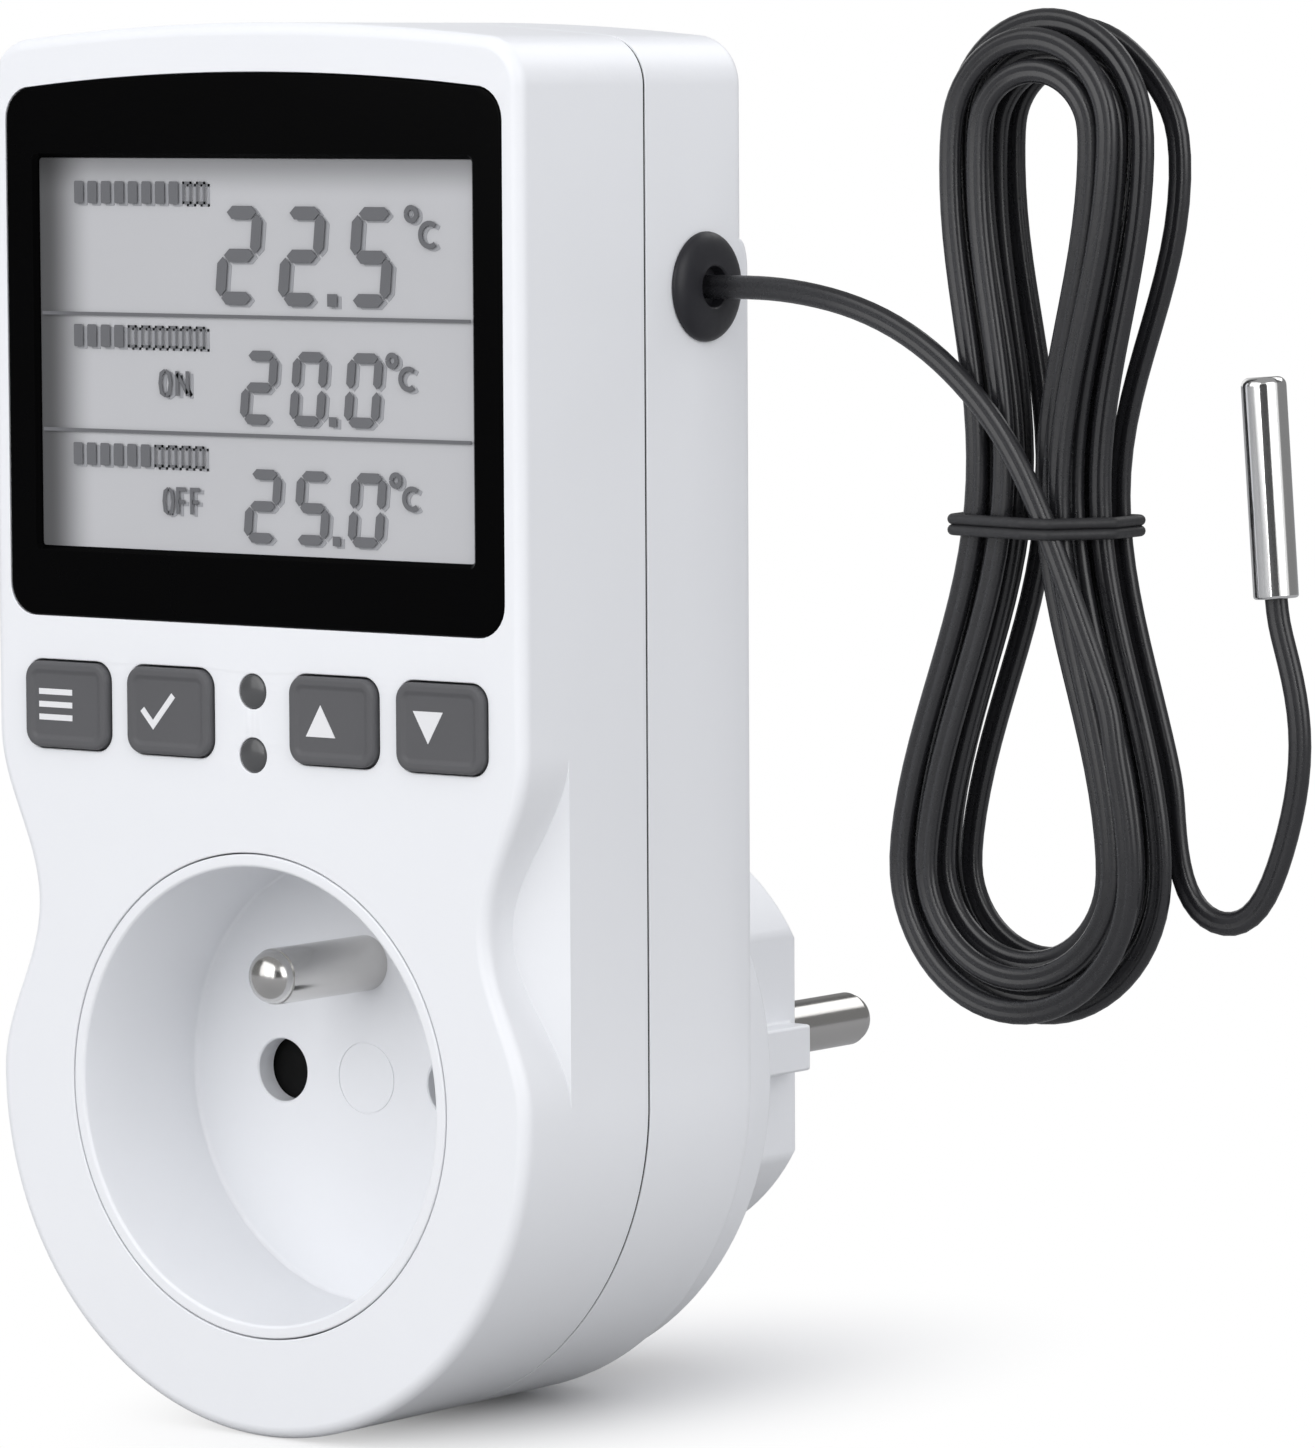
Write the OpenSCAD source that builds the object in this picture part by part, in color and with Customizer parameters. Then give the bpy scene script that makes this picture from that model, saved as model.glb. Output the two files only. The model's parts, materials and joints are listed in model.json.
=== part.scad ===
// Plug-in temperature controller: a socket and a thermostat in one white casing that plugs into a wall.
// X runs across the casing, Y from its face to the wall, Z up. The origin is the middle of the plug's face.

/* [Casing] */
// Width across the straight sides, which is also the width of the round bottom
body_w = 58.4; // [56:0.2:70]
// Height from the round bottom to the top of the arch
body_h = 119.7; // [116:0.1:140]
// Depth of the front cover, from its face to the seam
front_d = 16.5; // [14:0.5:17]
// Depth of the rear cover, from the seam to the raised back panel
rear_d = 15.2; // [14.8:0.1:20]
// Thickness of the side walls
wall = 2.2; // [1.6:0.1:2.4]
// Thickness of the front cover's face
face_wall = 2.6; // [2.2:0.1:3]
// Radius of the two upper corners
corner_r = 4.2; // [3.6:0.1:6]
// Rise of the arch between the upper corners
arch_h = 1.2; // [0.5:0.1:2.5]
// Rounding of the front edge
edge_r = 1.1; // [0.8:0.1:1.9]
// Rounding of the back edge
back_edge_r = 1.4; // [0.6:0.1:2]
// Height of the raised back panel over the strip above it
back_step = 1.1; // [0.6:0.1:1.5]
// Height of the lower strip at the top of the back
strip_h = 18.4; // [14:0.2:22]
// Width of the groove along the seam
groove_w = 0.4; // [0.3:0.1:0.6]
// Depth of the groove along the seam
groove_d = 0.35; // [0.2:0.05:0.5]

/* [Waist] */
// How far the front edge is drawn in at the waist
waist_pull = 4.2; // [2:0.1:5]
// Height of the drawn-in stretch
waist_len = 30; // [24:1:34]
// Height of its lower end over the socket's axis
waist_start = 0.2; // [0:0.1:2]
// Depth behind the face at which the side is straight again
waist_d = 6; // [4:0.5:8]
// Depth behind the face at which the slanted facet of the waist starts
waist_flat = 3.6; // [2.4:0.2:3.6]

/* [Socket] */
// Diameter of the recess
cup_d = 39; // [38.6:0.1:39.4]
// Thickness of the cup's wall
cup_wall = 1.1; // [0.9:0.1:1.3]
// Depth of the recess
cup_depth = 14.6; // [13:0.1:15]
// Thickness of the recess's floor
cup_floor = 2; // [1.5:0.1:2.4]
// Distance between the two contact holes, and between the two pins
pin_pitch = 19; // [18:0.1:20]
// Diameter of a contact hole
hole_d = 5.5; // [5.2:0.1:6]
// Diameter of the earth pin
earth_d = 4.8; // [4.4:0.1:5]
// Length of the earth pin over the floor
earth_len = 14; // [12:0.5:14.5]
// Height of the earth pin over the socket's axis
earth_z = 10; // [9.8:0.1:10.4]

/* [Plug] */
// Diameter of the round pad behind the casing
pad_d = 56; // [55:0.5:57]
// Height of the round pad
pad_h = 4.2; // [3:0.1:6]
// Length of the plug's body beyond the pad
plug_len = 18.5; // [17:0.5:22]
// Diameter of the plug's round sides
plug_d = 38.1; // [37.6:0.1:38.6]
// Width across the plug's flat sides
plug_w = 33; // [31:0.5:34]
// Reach of the two ribs on the flat sides, from the middle
rib_reach = 18.9; // [18:0.1:19]
// Width of a rib
rib_w = 4.1; // [3:0.1:6]
// Thickness of the plug's face
plug_face = 3; // [2.5:0.1:4]
// Thickness of the plug's walls
plug_wall = 2.4; // [1.8:0.1:2.6]
// Diameter of a pin
pin_d = 4.8; // [4.6:0.1:5]
// Length of a pin beyond the plug's face
pin_len = 19; // [18:0.5:20]

/* [Display] */
// Distance of the black window from the casing's side
window_margin = 1.9; // [1.9:0.1:4]
// Distance of the window's arch from the casing's top
window_drop = 4.1; // [3.5:0.1:6]
// Height of the window
window_h = 46.5; // [44:0.5:48]
// Radius of the window's corners
window_r = 2.8; // [1:0.1:4]
// Thickness of the window
window_t = 1.6; // [1:0.1:1.8]
// Distance of the visible display from the casing's side
view_side = 5.3; // [5.2:0.1:9]
// Height of the visible display
view_h = 33.3; // [28:0.1:34]
// Distance of the visible display from the window's arch
view_drop = 7.2; // [6.6:0.1:8]
// Thickness of the display glass
glass_t = 2.8; // [2:0.1:3]
// How far the display glass reaches past what is visible, above and below
glass_edge = 2; // [1.8:0.1:2.2]
// Thickness of the backlight behind the glass
backlight_t = 2.8; // [2.6:0.1:3.4]

/* [Buttons] */
// Distance of the inner buttons' near edge from the middle
button_mid = 4.4; // [3.7:0.1:5]
// Distance of the outer buttons' far edge from the casing's side
button_side = 3.9; // [3.1:0.05:5]
// Gap between an inner and an outer button
button_gap = 2.3; // [1.1:0.05:3]
// Height of a button
button_h = 7.4; // [6.6:0.1:9]
// Distance of the buttons' middle below the window
button_drop = 7.6; // [7.2:0.1:8]
// How far a button stands out of the face
button_proud = 0.6; // [0.4:0.1:1]
// Travel of a button
button_travel = 0.8; // [0.4:0.1:1]
// Diameter of an indicator lens
lens_d = 2.9; // [2:0.1:3.4]
// Distance of the upper indicator below the window
lens_drop = 5.5; // [5:0.1:6]
// Distance between the two indicators
lens_pitch = 5.4; // [5:0.1:6]

/* [Sensor] */
// Width of the flat twin cable
cable_w = 2; // [1.8:0.1:2.1]
// Thickness of the flat twin cable
cable_t = 1.2; // [1:0.1:1.3]
// Diameter of the grommet
grommet_d = 9.3; // [8.5:0.1:10]
// Height of the grommet over the socket's axis
grommet_z = 68.2; // [60:0.2:72]
// Depth of the grommet's middle behind the casing's face
grommet_depth = 24.8; // [24:0.1:25]
// Diameter of the metal probe
probe_d = 3.7; // [3:0.1:5]
// Length of the metal probe
probe_len = 18.2; // [15:0.1:30]
// Distance between neighbouring turns of the hank in one layer
hank_pitch = 2.7; // [2.65:0.05:2.8]
// Distance between neighbouring layers of the hank
layer_pitch = 1.85; // [1.85:0.05:2]

/* [Hidden] */
$fn = 48;

// Overrun of a cut past the surface that it opens
over = 0.5;
// Clearance between pieces that slide or are put together
gap = 0.3;
// Clearance between a shaft and its hole
fit = 0.05;

// Depths behind the face are turned into Y with the plug's face at zero.
y_front = -(plug_len + pad_h + rear_d + front_d);
pad_depth = front_d + rear_d;
plug_depth = pad_depth + pad_h;
face_depth = plug_depth + plug_len;
back_wall = wall + back_step;
inner_back = pad_depth - back_wall;
body_top = body_h - body_w / 2;

// Screws, their bosses and their places.
screw_r = 1.45;
screw_len = 14;
screw_head_r = 2.6;
screw_head_h = 2;
screw_tip = 8;
boss_r = 3;
boss_hole_r = screw_r + fit;
cup_r = cup_d / 2 + cup_wall;
cavity_half = body_w / 2 - wall;
pad_screw_r = (cup_r + cavity_half) / 2;
upper_boss_r = screw_head_r + gap + 1;
upper_screw_x = cavity_half - upper_boss_r - 6 * gap;
upper_screw_z = body_top - arch_h - wall - boss_r + 2 * gap;
function screw_seat(p) = norm(p) < pad_d / 2 ? plug_depth - screw_head_h - gap : screw_tip + screw_len;
case_screw_places = concat([for (a = [45:90:315]) pad_screw_r * [cos(a), sin(a)]],
    [for (s = [-1, 1]) [s * upper_screw_x, upper_screw_z]]);

// The display stack, by depth behind the face.
glass_depth = face_wall;
backlight_depth = glass_depth + glass_t;
board_depth = backlight_depth + backlight_t;
board_t = 1.6;
board_back = board_depth + board_t;
window_w = body_w - 2 * window_margin;
window_top = body_top - window_drop;
window_bottom = window_top - window_h;
view_top = window_top - view_drop;
view_bottom = view_top - view_h;
view_w = body_w - 2 * view_side;
glass_w = view_w + 2 * glass_edge - gap * 4;
aperture_bevel = 0.5;
strip_t = glass_edge - 2 * gap;

// Buttons, switches and lamps.
button_w = (body_w / 2 - button_mid - button_gap - button_side) / 2;
button_inner = button_mid + button_w / 2;
button_outer = button_inner + button_w + button_gap;
button_z = window_bottom - button_drop;
button_r = 1.5;
flange_t = 0.8;
flange_reach = 1.2;
switch_w = 6;
switch_h = glass_t + backlight_t - gap - flange_t - button_travel - 4 * fit;
switch_well_r = 1.9;
stem_r = switch_well_r - gap;
stem_reach = 2 * gap;
switch_well_d = stem_reach + button_travel + over;
lens_z = [window_bottom - lens_drop, window_bottom - lens_drop - lens_pitch];
lens_proud = 0.2;
lens_flange = 0.7;
led_h = 2.6;
led_r = 1.5;

// Boards and their screws.
board_w = body_w - 2 * wall - 4;
board_bottom = cup_r + 2 * gap;
board_top = upper_screw_z - boss_r - 2 * gap;
tab_w = 24;
tab_top = body_top - arch_h - wall - gap;
small_screw_r = 1;
small_screw_len = 5;
small_head_r = 1.9;
small_head_h = 1.2;
post_r = 2.2;
front_post_places = [for (s = [-1, 1], low = [true, false])
    low ? [s * (button_inner + button_outer) / 2, board_bottom + post_r + gap / 2]
        : [s * tab_w / 3, tab_top - post_r]];
power_t = 1.6;
power_w = body_w - 2 * wall - 6;
power_gap = 1.8;
power_back = inner_back - power_gap;
power_front = power_back - power_t;
power_top = upper_screw_z - upper_boss_r - 2 * gap;
power_bottom = board_bottom;
rear_post_places = [for (s = [-1, 1], z = [power_bottom + post_r + gap, power_top - post_r - gap])
    [s * (power_w / 2 - post_r - gap), z]];

// Shutter, its guide and its spring, behind the floor of the cup.
floor_back = cup_depth + cup_floor;
shutter_t = 2.4;
shutter_h = 9;
shutter_w = 28;
shutter_travel = 6.5;
shutter_depth = floor_back + gap;
guide_depth = shutter_depth + shutter_t + gap;
guide_t = 1.5;
guide_w = 34;
rail_t = 1.5;
stop_t = 1.2;
stop_x = shutter_w / 2 + shutter_travel + 3.6;
spring_r = 0.9;
spring_wire = 0.35;
spring_turns = 9;
spring_rings = 8;
ear_x = 12;
ear_w = 5;
ear_z = -9.8;

// Contacts and the earth parts.
sheet = 1;
tulip_r = hole_d / 2 + fit;
tulip_wall = 0.7;
tulip_depth = guide_depth + guide_t + gap;
tulip_back = cup_depth + pin_len + sheet + gap;
pin_root = 1;
pin_root_r = pin_d / 2 - gap;
pin_flange_r = 3.3;
strip_w = 6;
lead_w = 2.5;
foot_reach = 4;
foot_depth = face_depth - plug_face - pin_root - sheet;
rivet_r = 3.3;
tenon_r = earth_d / 2 - gap;
rivet_h = 0.9;
clip_w = 5;
clip_len = 15;
clip_bow = 0.9;
clip_base = plug_d / 2 - 1.7;
floor_t = 1.4;
hollow_z = clip_base - gap - floor_t;
bar_z = hollow_z - gap - 2 * sheet;
bar_w = 5;
contact_z = earth_z - rivet_h * 2;
feed_z = earth_z + rivet_h / 2;
clip_slot_w = clip_w + 2 * gap;
sleeve_r = 3.2;

// Grommet, in the casing's side wall.
grommet_neck_r = 3;
grommet_inner_r = 3.45;
grommet_inner_t = 1.4;
grommet_dome = 1.2;
cable_hole_r = cable_w / 2 + fit * 4;
y_grommet = y_front + grommet_depth;
lead_start_x = body_w / 2 + grommet_dome;

// The hank: its loops run down on the right and up on the left, seen from the front.
hank_top_x = 61.4;
hank_low_x = 59.6;
hank_top_z = 90.6;
hank_low_z = 8.3;
hank_top_r = 9.6;
hank_low_r = 12.6;
hank_pull = 5.3;
hank_rings = 24;
hank_sides = 6;
hank_start_turn = 0.34;
hank_loops = 8;
climb_turns = 0.5;
layer_turns = (hank_loops - 3 * climb_turns) / 4;
settle_turns = 0.25;
hank_bulge = 2;
bulge_turn = hank_loops + 0.15;
bulge_turns = 0.1;
tie_w = 1.7;
tie_t = 0.9;
tie_gap = 0.25;
tie_drop = 2;
tie_front_r = 3;
tie_back_r = 1.4;

// The lead's route from the grommet to the hank, and the tail's from the hank to the probe, as X and Z.
lead_route = [[33.8, 68.2], [37, 68.1], [41, 67.6], [45, 66.7], [49, 65.2], [52.5, 63.2], [55.5, 60.9], [58.4, 58.1],
    [60.9, 54.8], [62.9, 51.3], [64.6, 47.7], [66.2, 44.1], [67.7, 40.6], [69.1, 37.3], [70.3, 34.2]];
tail_route = [[71.6, 25], [71.9, 22.4], [72.4, 20.1], [73.3, 18.3], [74.7, 17], [76.5, 16.5], [78.3, 16.8],
    [79.9, 18], [81.2, 20.2], [82.2, 22.9], [83.1, 25.8], [83.7, 28.8], [83.9, 31.6], [83.7, 34.4], [83.1, 37],
    [82.4, 39.5]];
probe_mouth = [81.5, 43.5];
probe_tip = [80.2, 61.4];
tip_r = 0.7;
tube_sides = 8;

function lerp(a, b, t) = a + (b - a) * t;
function unit(v) = v / norm(v);
function bump(z) = let (s = (z - waist_start) / waist_len - 0.5) abs(s) < 0.5 ? pow(cos(180 * s), 2) : 0;

// Outline of the casing as X and Z, at one depth: inset is how far it lies inside the full outline.
arc_steps = 28;
waist_steps = 10;
corner_steps = 6;
arch_steps = 8;
function outline(inset, pull = 0) =
    let (half = body_w / 2 - inset, r = max(corner_r - inset, fit),
        z_corner = body_top - inset - arch_h - r,
        arc = [for (i = [0:arc_steps]) let (a = 180 + 180 * i / arc_steps) half * [cos(a), sin(a)]],
        waist = [for (i = [0:waist_steps]) let (z = waist_start + waist_len * i / waist_steps)
            [half - pull * bump(z), z]],
        corner = [for (i = [0:corner_steps]) let (a = 90 * i / corner_steps)
            [half - r + r * cos(a), z_corner + r * sin(a)]],
        arch = [for (i = [1:arch_steps - 1]) let (s = 1 - 2 * i / arch_steps)
            [s * (half - r), z_corner + r + arch_h * (1 - s * s)]],
        right = concat(waist, corner))
    concat(arc, right, arch, [for (i = [len(right) - 1:-1:0]) [-right[i].x, right[i].y]]);

// Closed shell through rings of equal length, from the end that looks forward to the end that looks back.
// Where flat says so, the strip between two rings is made of flat four-sided faces. Each end starts at the lowest
// point, which no straight stretch of the outline lies in line with.
lowest = arc_steps / 2;
function ring_faces(rings, count, flat) = concat(
    [for (r = [0:rings - 2], i = [0:count - 1]) let (j = (i + 1) % count, a = r * count, b = a + count)
        each (flat[r] ? [[a + i, a + j, b + j, b + i]] : [[a + i, a + j, b + j], [a + i, b + j, b + i]])],
    [[for (i = [count:-1:1]) (i + lowest) % count]],
    [[for (i = [0:count - 1]) (rings - 1) * count + (i + lowest) % count]]);

// Rings are given as depth, inset, the share of the waist's pull, and how far the ring comes forward at the waist.
module loft(rings) {
    outlines = [for (r = rings) outline(r[1], r[2] * waist_pull)];
    points = [for (k = [0:len(rings) - 1]) let (ring = rings[k]) for (p = outlines[k])
        [p.x, y_front + ring[0] - (len(ring) > 3 ? max(gap, ring[3] * bump(p.y)) : 0), p.y]];
    flat = [for (k = [1:len(rings) - 1])
        rings[k][0] == rings[k - 1][0] || (rings[k][1] == rings[k - 1][1] && rings[k][2] == rings[k - 1][2])];
    polyhedron(points, ring_faces(len(rings), len(outlines[0]), flat));
}

// Flat shape in X and Z, from one depth behind the face to another.
module slab(from, to) {
    translate([0, y_front + to, 0]) rotate([90, 0, 0]) linear_extrude(to - from) children();
}

module disc(from, to, r, place = [0, 0]) {
    slab(from, to) translate(place) circle(r);
}

module plate(from, to, low, high) {
    slab(from, to) translate(low) square(high - low);
}

module rounded(w, h, r) {
    hull() for (x = [r - w / 2, w / 2 - r], z = [r - h / 2, h / 2 - r]) translate([x, z]) circle(r, $fn = 24);
}

// The window's outline, with the same arch as the casing.
module window_shape(inset) {
    half = window_w / 2 - inset;
    r = window_r - inset;
    top = window_top - inset;
    corner_z = top - arch_h - r;
    low = window_bottom + inset;
    points = concat(
        [for (a = [180:15:270]) [-half + r, low + r] + r * [cos(a), sin(a)]],
        [for (a = [270:15:360]) [half - r, low + r] + r * [cos(a), sin(a)]],
        [for (a = [0:15:75]) [half - r, corner_z] + r * [cos(a), sin(a)]],
        [for (i = [0:16]) let (s = 1 - i / 8) [s * (half - r), corner_z + r + arch_h * (1 - s * s)]],
        [for (a = [105:15:180]) [-half + r, corner_z] + r * [cos(a), sin(a)]]);
    polygon(points);
}

module plug_shape(inset) {
    intersection() {
        circle(plug_d / 2 - inset, $fn = 96);
        square([plug_w - 2 * inset, plug_d], center = true);
    }
}

module front_cover() {
    fillet = [for (a = [0:30:90]) [edge_r * (1 - cos(a)), edge_r * (1 - sin(a)), 1]];
    facet = [[waist_d, 0, 1, waist_d - waist_flat], [waist_d, 0, 0]];
    inside = [[front_d, 0, 0], [front_d, wall, 0], [waist_d + wall, wall, 0], [face_wall, wall, 1]];
    color("whitesmoke") difference() {
        union() {
            difference() {
                loft(concat(fillet, facet, inside));
                disc(-over, face_wall + over, cup_r + fit);
            }
            for (p = case_screw_places) disc(face_wall - fit, front_d, boss_r, p);
            for (p = front_post_places) disc(face_wall - fit, board_depth, post_r, p);
        }
        slab(-over, window_t) window_shape(0);
        plate(0, face_wall + over, [-view_w / 2 - gap, view_bottom - gap], [view_w / 2 + gap, view_top + gap]);
        for (x = [-button_outer, -button_inner, button_inner, button_outer])
            slab(-over, face_wall + over) translate([x, button_z])
                rounded(button_w + 2 * gap, button_h + 2 * gap, button_r);
        for (z = lens_z) disc(-over, face_wall + over, lens_d / 2 + fit, [0, z]);
        for (p = case_screw_places) disc(screw_tip - over, front_d + over, boss_hole_r, p);
        for (p = front_post_places) disc(face_wall + over, board_depth + over, small_screw_r + fit, p);
    }
}

module rear_cover() {
    fillet = [for (a = [30:30:90]) [pad_depth - back_edge_r * (1 - sin(a)), back_edge_r * (1 - cos(a)), 0]];
    inside = [[inner_back, wall, 0], [front_d, wall, 0]];
    rim = [[front_d, groove_d, 0], [front_d + groove_w, groove_d, 0], [front_d + groove_w + groove_d / 2, 0, 0]];
    color("whitesmoke") difference() {
        union() {
            difference() {
                loft(concat(inside, rim, [[pad_depth - back_edge_r, 0, 0]], fillet));
                disc(floor_back - over, pad_depth + over, cup_r - cup_wall);
            }
            for (p = case_screw_places)
                disc(front_d, inner_back + fit, norm(p) < pad_d / 2 ? boss_r : upper_boss_r, p);
            for (p = rear_post_places) disc(power_back, inner_back + fit, post_r, p);
            difference() {
                disc(floor_back, inner_back + fit, cup_r);
                plate(floor_back - over, inner_back, [0, -shutter_h / 2 - gap], [cup_r + over, shutter_h / 2 + gap]);
                plate(floor_back - over, inner_back, [-pin_pitch, cup_r / 2], [pin_pitch, cup_r + over]);
            }
        }
        plate(pad_depth - back_step, pad_depth + over, [-body_w, body_top - strip_h], [body_w, body_top + over]);
        disc(floor_back - over, pad_depth + over, cup_r - cup_wall);
        for (p = case_screw_places) {
            disc(front_d - over, pad_depth + over, screw_r + fit * 4, p);
            disc(min(screw_seat(p), pad_depth), pad_depth + over, norm(p) < pad_d / 2 ? screw_r + fit * 4
                : screw_head_r + gap, p);
        }
        for (p = rear_post_places) disc(power_back - over, inner_back + back_step, small_screw_r + fit, p);
        translate([0, y_grommet, grommet_z]) rotate([0, 90, 0]) cylinder(r = grommet_neck_r + fit, h = body_w);
    }
}

module plug_body() {
    spigot_r = cup_r - cup_wall - fit;
    groove = clip_slot_w / 2;
    color("whitesmoke") difference() {
        union() {
            disc(pad_depth, plug_depth - edge_r / 2, pad_d / 2);
            disc(pad_depth, plug_depth, pad_d / 2 - edge_r / 2);
            disc(inner_back + gap, pad_depth + fit, spigot_r);
            slab(pad_depth, face_depth) plug_shape(0);
            for (s = [-1, 1]) plate(plug_depth - fit, face_depth - pin_root,
                [s > 0 ? plug_w / 2 - sheet : -rib_reach, -rib_w / 2],
                [s > 0 ? rib_reach : sheet - plug_w / 2, rib_w / 2]);
        }
        slab(inner_back - over, face_depth - plug_face) intersection() {
            plug_shape(plug_wall);
            square([plug_w, 2 * hollow_z], center = true);
        }
        for (s = [-1, 1]) {
            disc(face_depth - plug_face - over, face_depth + over, pin_root_r + fit, [s * pin_pitch / 2, 0]);
            plate(face_depth - clip_len - sheet, face_depth + over,
                [-groove, s > 0 ? clip_base - gap : -plug_d], [groove, s > 0 ? plug_d : gap - clip_base]);
            plate(face_depth - clip_len - 2 * sheet - gap, face_depth - clip_len + gap,
                [-groove, s > 0 ? bar_z : -plug_d], [groove, s > 0 ? plug_d : -bar_z]);
        }
        disc(face_depth - plug_face - over, face_depth + over, hole_d / 2, [0, earth_z]);
        for (p = case_screw_places) if (norm(p) < pad_d / 2) {
            disc(pad_depth - over, plug_depth + over, screw_r + fit * 4, p);
            disc(screw_seat(p), plug_depth + over, screw_head_r + gap, p);
        }
    }
}

module socket_cup() {
    flange_r = cup_r + wall / 2;
    ear_len = guide_depth - floor_back;
    color("white") difference() {
        union() {
            disc(0, floor_back, cup_r, [0, 0]);
            difference() {
                disc(face_wall, face_wall + sheet, flange_r);
                for (p = case_screw_places) disc(face_wall - over, face_wall + over + sheet, boss_r + gap, p);
            }
            for (s = [-1, 1]) disc(floor_back - fit, floor_back + ear_len, post_r, [s * ear_x, ear_z]);
        }
        disc(-over, cup_depth, cup_d / 2, [0, 0]);
        for (s = [-1, 1]) {
            disc(cup_depth - over, floor_back + over, hole_d / 2, [s * pin_pitch / 2, 0]);
            disc(cup_depth + over, guide_depth + over, small_screw_r + fit, [s * ear_x, ear_z]);
        }
        disc(cup_depth - over, floor_back + over, tenon_r + fit, [0, earth_z]);
        slab(cup_depth - gap, cup_depth + gap) difference() {
            circle(hole_d / 2 + gap);
            circle(hole_d / 2);
        }
    }
}

// A round pin along Y with a domed tip, which points towards the face when forward is true.
module round_pin(root, tip, r, place, forward) {
    dome = r * 0.7;
    length = abs(tip - root);
    side = forward ? 1 : -1;
    translate([place.x, y_front + root, place.y]) rotate([side * 90, 0, 0]) rotate_extrude() polygon(concat(
        [[0, 0], [r, 0]],
        [for (a = [0:15:90]) [r * cos(a), length - dome + dome * sin(a)]]));
}

module earth_pin() {
    color("silver") {
        round_pin(cup_depth, cup_depth - earth_len, earth_d / 2, [0, earth_z], true);
        disc(cup_depth - fit, floor_back + fit, tenon_r, [0, earth_z]);
        disc(floor_back, floor_back + rivet_h, rivet_r, [0, earth_z]);
    }
}

module shutter() {
    window_r = hole_d / 2 + gap;
    color([0.1, 0.1, 0.1]) slab(shutter_depth, shutter_depth + shutter_t) difference() {
        square([shutter_w, shutter_h], center = true);
        for (s = [-1, 1]) translate([s * pin_pitch / 2 - shutter_travel, 0]) circle(window_r);
    }
}

function coil_point(turn, low, high) =
    let (x = lerp(low, high, turn / spring_turns), a = 360 * turn)
    [x, y_front + shutter_depth + shutter_t / 2 + spring_r * cos(a), spring_r * sin(a)];

module shutter_spring() {
    low = shutter_w / 2 + spring_wire / 2 + fit;
    high = stop_x - spring_wire / 2 - fit;
    steps = spring_turns * spring_rings;
    path = [for (i = [0:steps]) coil_point(i / spring_rings, low, high)];
    points = [for (i = [0:steps]) let (a = 360 * i / spring_rings, out = [0, cos(a), sin(a)])
        for (k = [0:hank_sides - 1]) let (b = -360 * k / hank_sides)
            path[i] + spring_wire / 2 * (cos(b) * out + sin(b) * [1, 0, 0])];
    color("silver") polyhedron(points, tube_faces(steps + 1, hank_sides));
}

module shutter_guide() {
    low_z = shutter_h / 2 + gap;
    color("gainsboro") difference() {
        union() {
            plate(guide_depth, guide_depth + guide_t, [-guide_w / 2, -low_z - rail_t], [guide_w / 2, low_z + rail_t]);
            plate(guide_depth, guide_depth + guide_t, [guide_w / 2 - fit, -low_z / 2], [stop_x + stop_t, low_z / 2]);
            plate(shutter_depth, guide_depth + guide_t, [stop_x, -low_z / 2], [stop_x + stop_t, low_z / 2]);
            for (s = [-1, 1]) {
                plate(floor_back, guide_depth + fit, [-guide_w / 2, s > 0 ? low_z : -low_z - rail_t],
                    [guide_w / 2, s > 0 ? low_z + rail_t : -low_z]);
                plate(guide_depth, guide_depth + guide_t, [s * ear_x - ear_w / 2, ear_z - ear_w / 2],
                    [s * ear_x + ear_w / 2, -low_z]);
            }
        }
        for (s = [-1, 1]) {
            disc(guide_depth - over, guide_depth + guide_t + over, hole_d / 2, [s * pin_pitch / 2, 0]);
            disc(guide_depth - over, guide_depth + guide_t + over, small_screw_r + fit, [s * ear_x, ear_z]);
        }
    }
}

// A screw along Y: its head starts at head_depth and its shank runs towards the face.
module screw(head_depth, shank, r, head_r, head_h, place) {
    difference() {
        union() {
            disc(head_depth - shank, head_depth + fit, r, place);
            disc(head_depth, head_depth + head_h, head_r, place);
        }
        for (turn = [0, 90]) slab(head_depth + head_h / 2, head_depth + head_h + over)
            translate(place) rotate(turn) square([head_r * 1.2, head_r / 4], center = true);
    }
}

module guide_screws() {
    color("silver") for (s = [-1, 1])
        screw(guide_depth + guide_t, small_screw_len - over, small_screw_r, small_head_r, small_head_h,
            [s * ear_x, ear_z]);
}

// A sprung tube that grips a plug's pin, split down both sides.
module tulip(x) {
    difference() {
        disc(tulip_depth, tulip_back, tulip_r + tulip_wall, [x, 0]);
        disc(tulip_depth - over, tulip_back - sheet, tulip_r, [x, 0]);
        plate(tulip_depth - over, tulip_back - 2 * sheet, [x - tulip_wall / 2, -tulip_r * 2],
            [x + tulip_wall / 2, tulip_r * 2]);
    }
}

module live_contact() {
    low = -pin_pitch / 2 - strip_w / 2;
    high = low + lead_w;
    rise = power_bottom + 3 * sheet;
    front = power_front - 2 * sheet;
    color("goldenrod") {
        tulip(-pin_pitch / 2);
        plate(tulip_back - sheet, tulip_back, [low, 0], [high, contact_z]);
        plate(front, tulip_back, [low, contact_z - sheet], [high, contact_z]);
        plate(front, front + sheet, [low, contact_z - sheet], [high, rise]);
        plate(front, power_front, [low, rise - sheet], [high, rise]);
    }
}

// The plate that a pin is riveted to.
module pin_foot(side) {
    x = side * pin_pitch / 2;
    inner = x - side * strip_w / 2;
    outer = x + side * foot_reach;
    difference() {
        plate(foot_depth, foot_depth + sheet, [min(inner, outer), -strip_w / 2], [max(inner, outer), strip_w / 2]);
        disc(foot_depth - over, foot_depth + sheet + over, pin_d / 4 + fit, [x, 0]);
    }
}

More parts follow.
